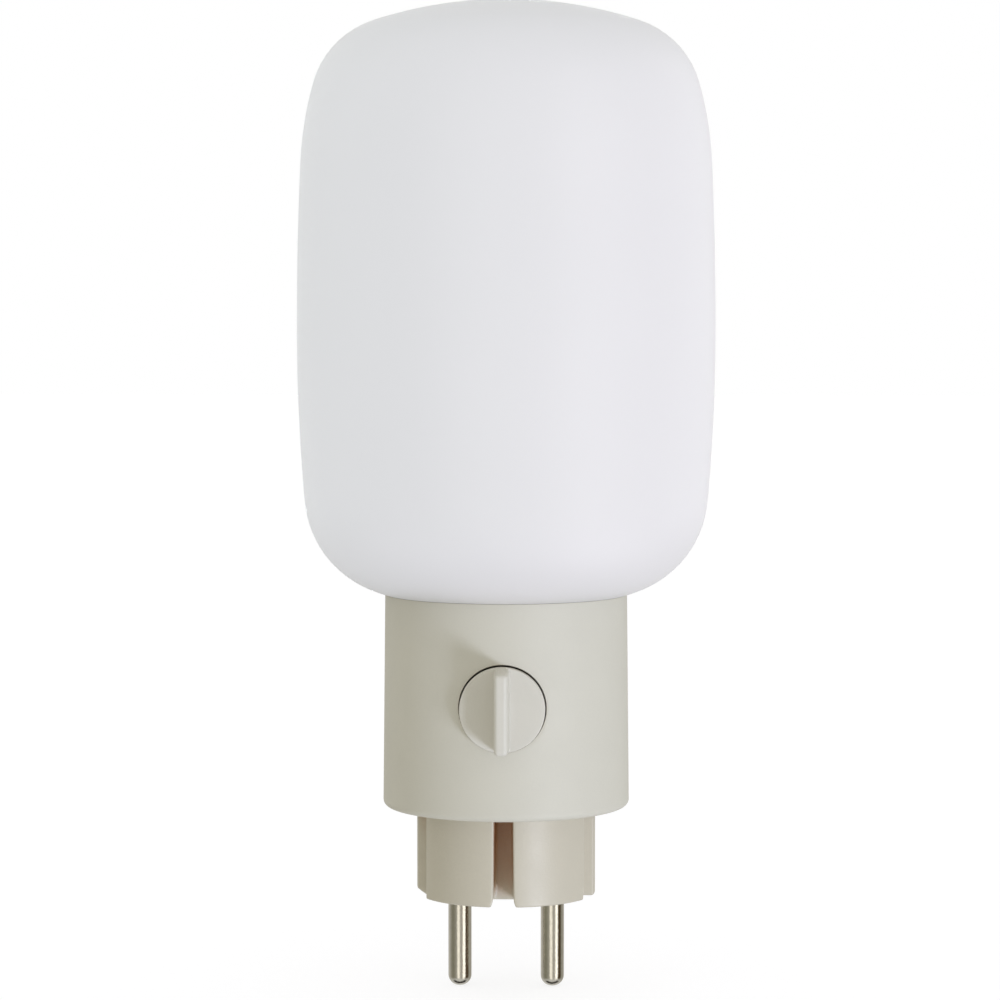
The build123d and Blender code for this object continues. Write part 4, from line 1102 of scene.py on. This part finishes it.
# The plain ceiling and floor over and under it, and the strip below, by their steepness:
# from level at 0 to straight up at 1 or down at -1, and for the strip's width to front and back
surround_plain = (0.72, 0.72, 0.70)
surround_plain_from = (0.45, 0.75)
surround_below = (0.06, 0.055, 0.05)
surround_below_from = (-0.8, -0.7)
surround_below_half = (0.2, 0.32)


def studio_surround(tree, parts):
    """What gloss sees round the lamp: pale and dim upright stretches by their turn from the camera, a
    plain pale ceiling and floor, and a dark strip from side to side straight below."""
    forward = worked_out(tree, "MULTIPLY", parts["Y"], -1.0)
    turn = worked_out(tree, "ARCTAN2", parts["X"], forward)
    ramp = tree.nodes.new("ShaderNodeValToRGB")
    put(tree, spread(tree, turn, -pi, pi, 0.0, 1.0), ramp.inputs["Fac"])
    stops = ramp.color_ramp.elements
    while len(stops) > 1:
        stops.remove(stops[-1])
    for number, (degrees_round, tone) in enumerate(surround_stretches):
        place = (degrees_round + 180) / 360
        stop = stops[0] if number == 0 else stops.new(place)
        stop.position = place
        stop.color = (*tone, 1)
    steepness = worked_out(tree, "ABSOLUTE", parts["Z"])
    plain = spread(tree, steepness, *surround_plain_from, 0.0, 1.0)
    whole = blended(tree, plain, ramp.outputs["Color"], surround_plain)
    beneath = spread(tree, parts["Z"], *surround_below_from, 1.0, 0.0)
    aside = worked_out(tree, "ABSOLUTE", parts["Y"])
    strip = spread(tree, aside, *surround_below_half, beneath, 0.0)
    return blended(tree, strip, whole, surround_below, "MULTIPLY")


def make_world(strength, tint, left_gain):
    """World: white where it is seen, a soft light a little stronger from the left, and in gloss the
    studio's surround."""
    world = bpy.data.worlds.new("studio")
    bpy.context.scene.world = world
    world.use_nodes = True
    tree = world.node_tree
    tree.nodes.clear()
    place = outputs_of(tree, "TexCoord", {})["Generated"]
    parts = outputs_of(tree, "SeparateXYZ", {"Vector": place})
    left, right = strength * (1 + left_gain), strength * (1 - left_gain)
    light = spread(tree, parts["X"], -1.0, 1.0, left, right)
    soft = outputs_of(tree, "Background", {"Color": tint, "Strength": light})[0]
    gloss = outputs_of(tree, "Background", {"Color": studio_surround(tree, parts)})[0]
    white = outputs_of(tree, "Background", {"Color": (1, 1, 1)})[0]
    path = outputs_of(tree, "LightPath", {})
    unseen = mixed_shaders(tree, path["Is Glossy Ray"], soft, gloss)
    whole = mixed_shaders(tree, path["Is Camera Ray"], unseen, white)
    outputs_of(tree, "OutputWorld", {"Surface": whole})


waist = Vector((0, 0, 0.05))


def area_lamp(name, direction, distance, size, power, tint):
    """A square studio lamp at a distance in a direction from the object's waist, facing it."""
    data = bpy.data.lights.new(name, "AREA")
    data.size = size
    data.energy = power
    data.color = tint
    data.cycles.use_multiple_importance_sampling = False
    lamp = bpy.data.objects.new(name, data)
    towards = Vector(direction).normalized()
    lamp.location = waist + towards * distance
    lamp.rotation_euler = towards.to_track_quat("Z", "Y").to_euler()
    lamp.visible_camera = False
    bpy.context.scene.collection.objects.link(lamp)
    return lamp


def lit_pieces(lamp, pieces):
    """Lets a lamp light these pieces alone."""
    group = bpy.data.collections.new(lamp.name + "_pieces")
    for piece in pieces:
        group.objects.link(piece)
    lamp.light_linking.receiver_collection = group


make_floor(half=4.0, pale_tone=(0.8, 0.8, 0.8), seen_tone=(0.33, 0.33, 0.35), seen_glow=0.785)
make_world(strength=0.685, tint=(1.0, 0.995, 0.95), left_gain=0.06)

# The key lamp, far off to the right and low in front, lights all of the object but glass and pins
unkeyed = ("diffuser", "live_pin", "neutral_pin")
keyed = [piece for piece, node, _ in made if node not in unkeyed] + list(frame["nodes"].values())
key = area_lamp(
    "key", (0.614, -0.694, -0.378), distance=2.7, size=0.6, power=38.0, tint=(0.728, 0.785, 1.0)
)
lit_pieces(key, keyed)

# Opal glass spreads the light it takes in through its whole wall: a ring of soft lamps, the
# strongest to the right of the camera, and one below on each side give that even glow
glass_piece = made[0][0]
glow_distance = 0.9
glow_size = 0.9
glow_count = 5
glow_turn = 55
glow_mean = 1.205
glow_swing = 0.47
glow_lift = 0.22
warm_glow = np.array((0.964, 0.914, 1.0))
cool_glow = np.array((0.899, 1.0, 0.976))
under_glow_size = 0.6
under_glow_powers = ((1, 1.9), (-1, 0.75))
for number in range(-3, 2):
    turn = glow_turn + number * 360 // glow_count
    swing = cos(radians(turn - glow_turn))
    direction = (sin(radians(turn)), -cos(radians(turn)), glow_lift)
    power = glow_mean * (1 + glow_swing * swing)
    tint = warm_glow + (cool_glow - warm_glow) * (1 - swing) / 2
    glow = area_lamp(f"glass_glow_{turn}", direction, glow_distance, glow_size, power, tint)
    lit_pieces(glow, [glass_piece])
for side, power in under_glow_powers:
    name = f"glass_glow_below_{side}"
    direction = (0.65 * side, -0.2, -0.7)
    under_glow = area_lamp(name, direction, glow_distance, under_glow_size, power, warm_glow)
    lit_pieces(under_glow, [glass_piece])

bpy.context.scene.view_settings.view_transform = "Standard"
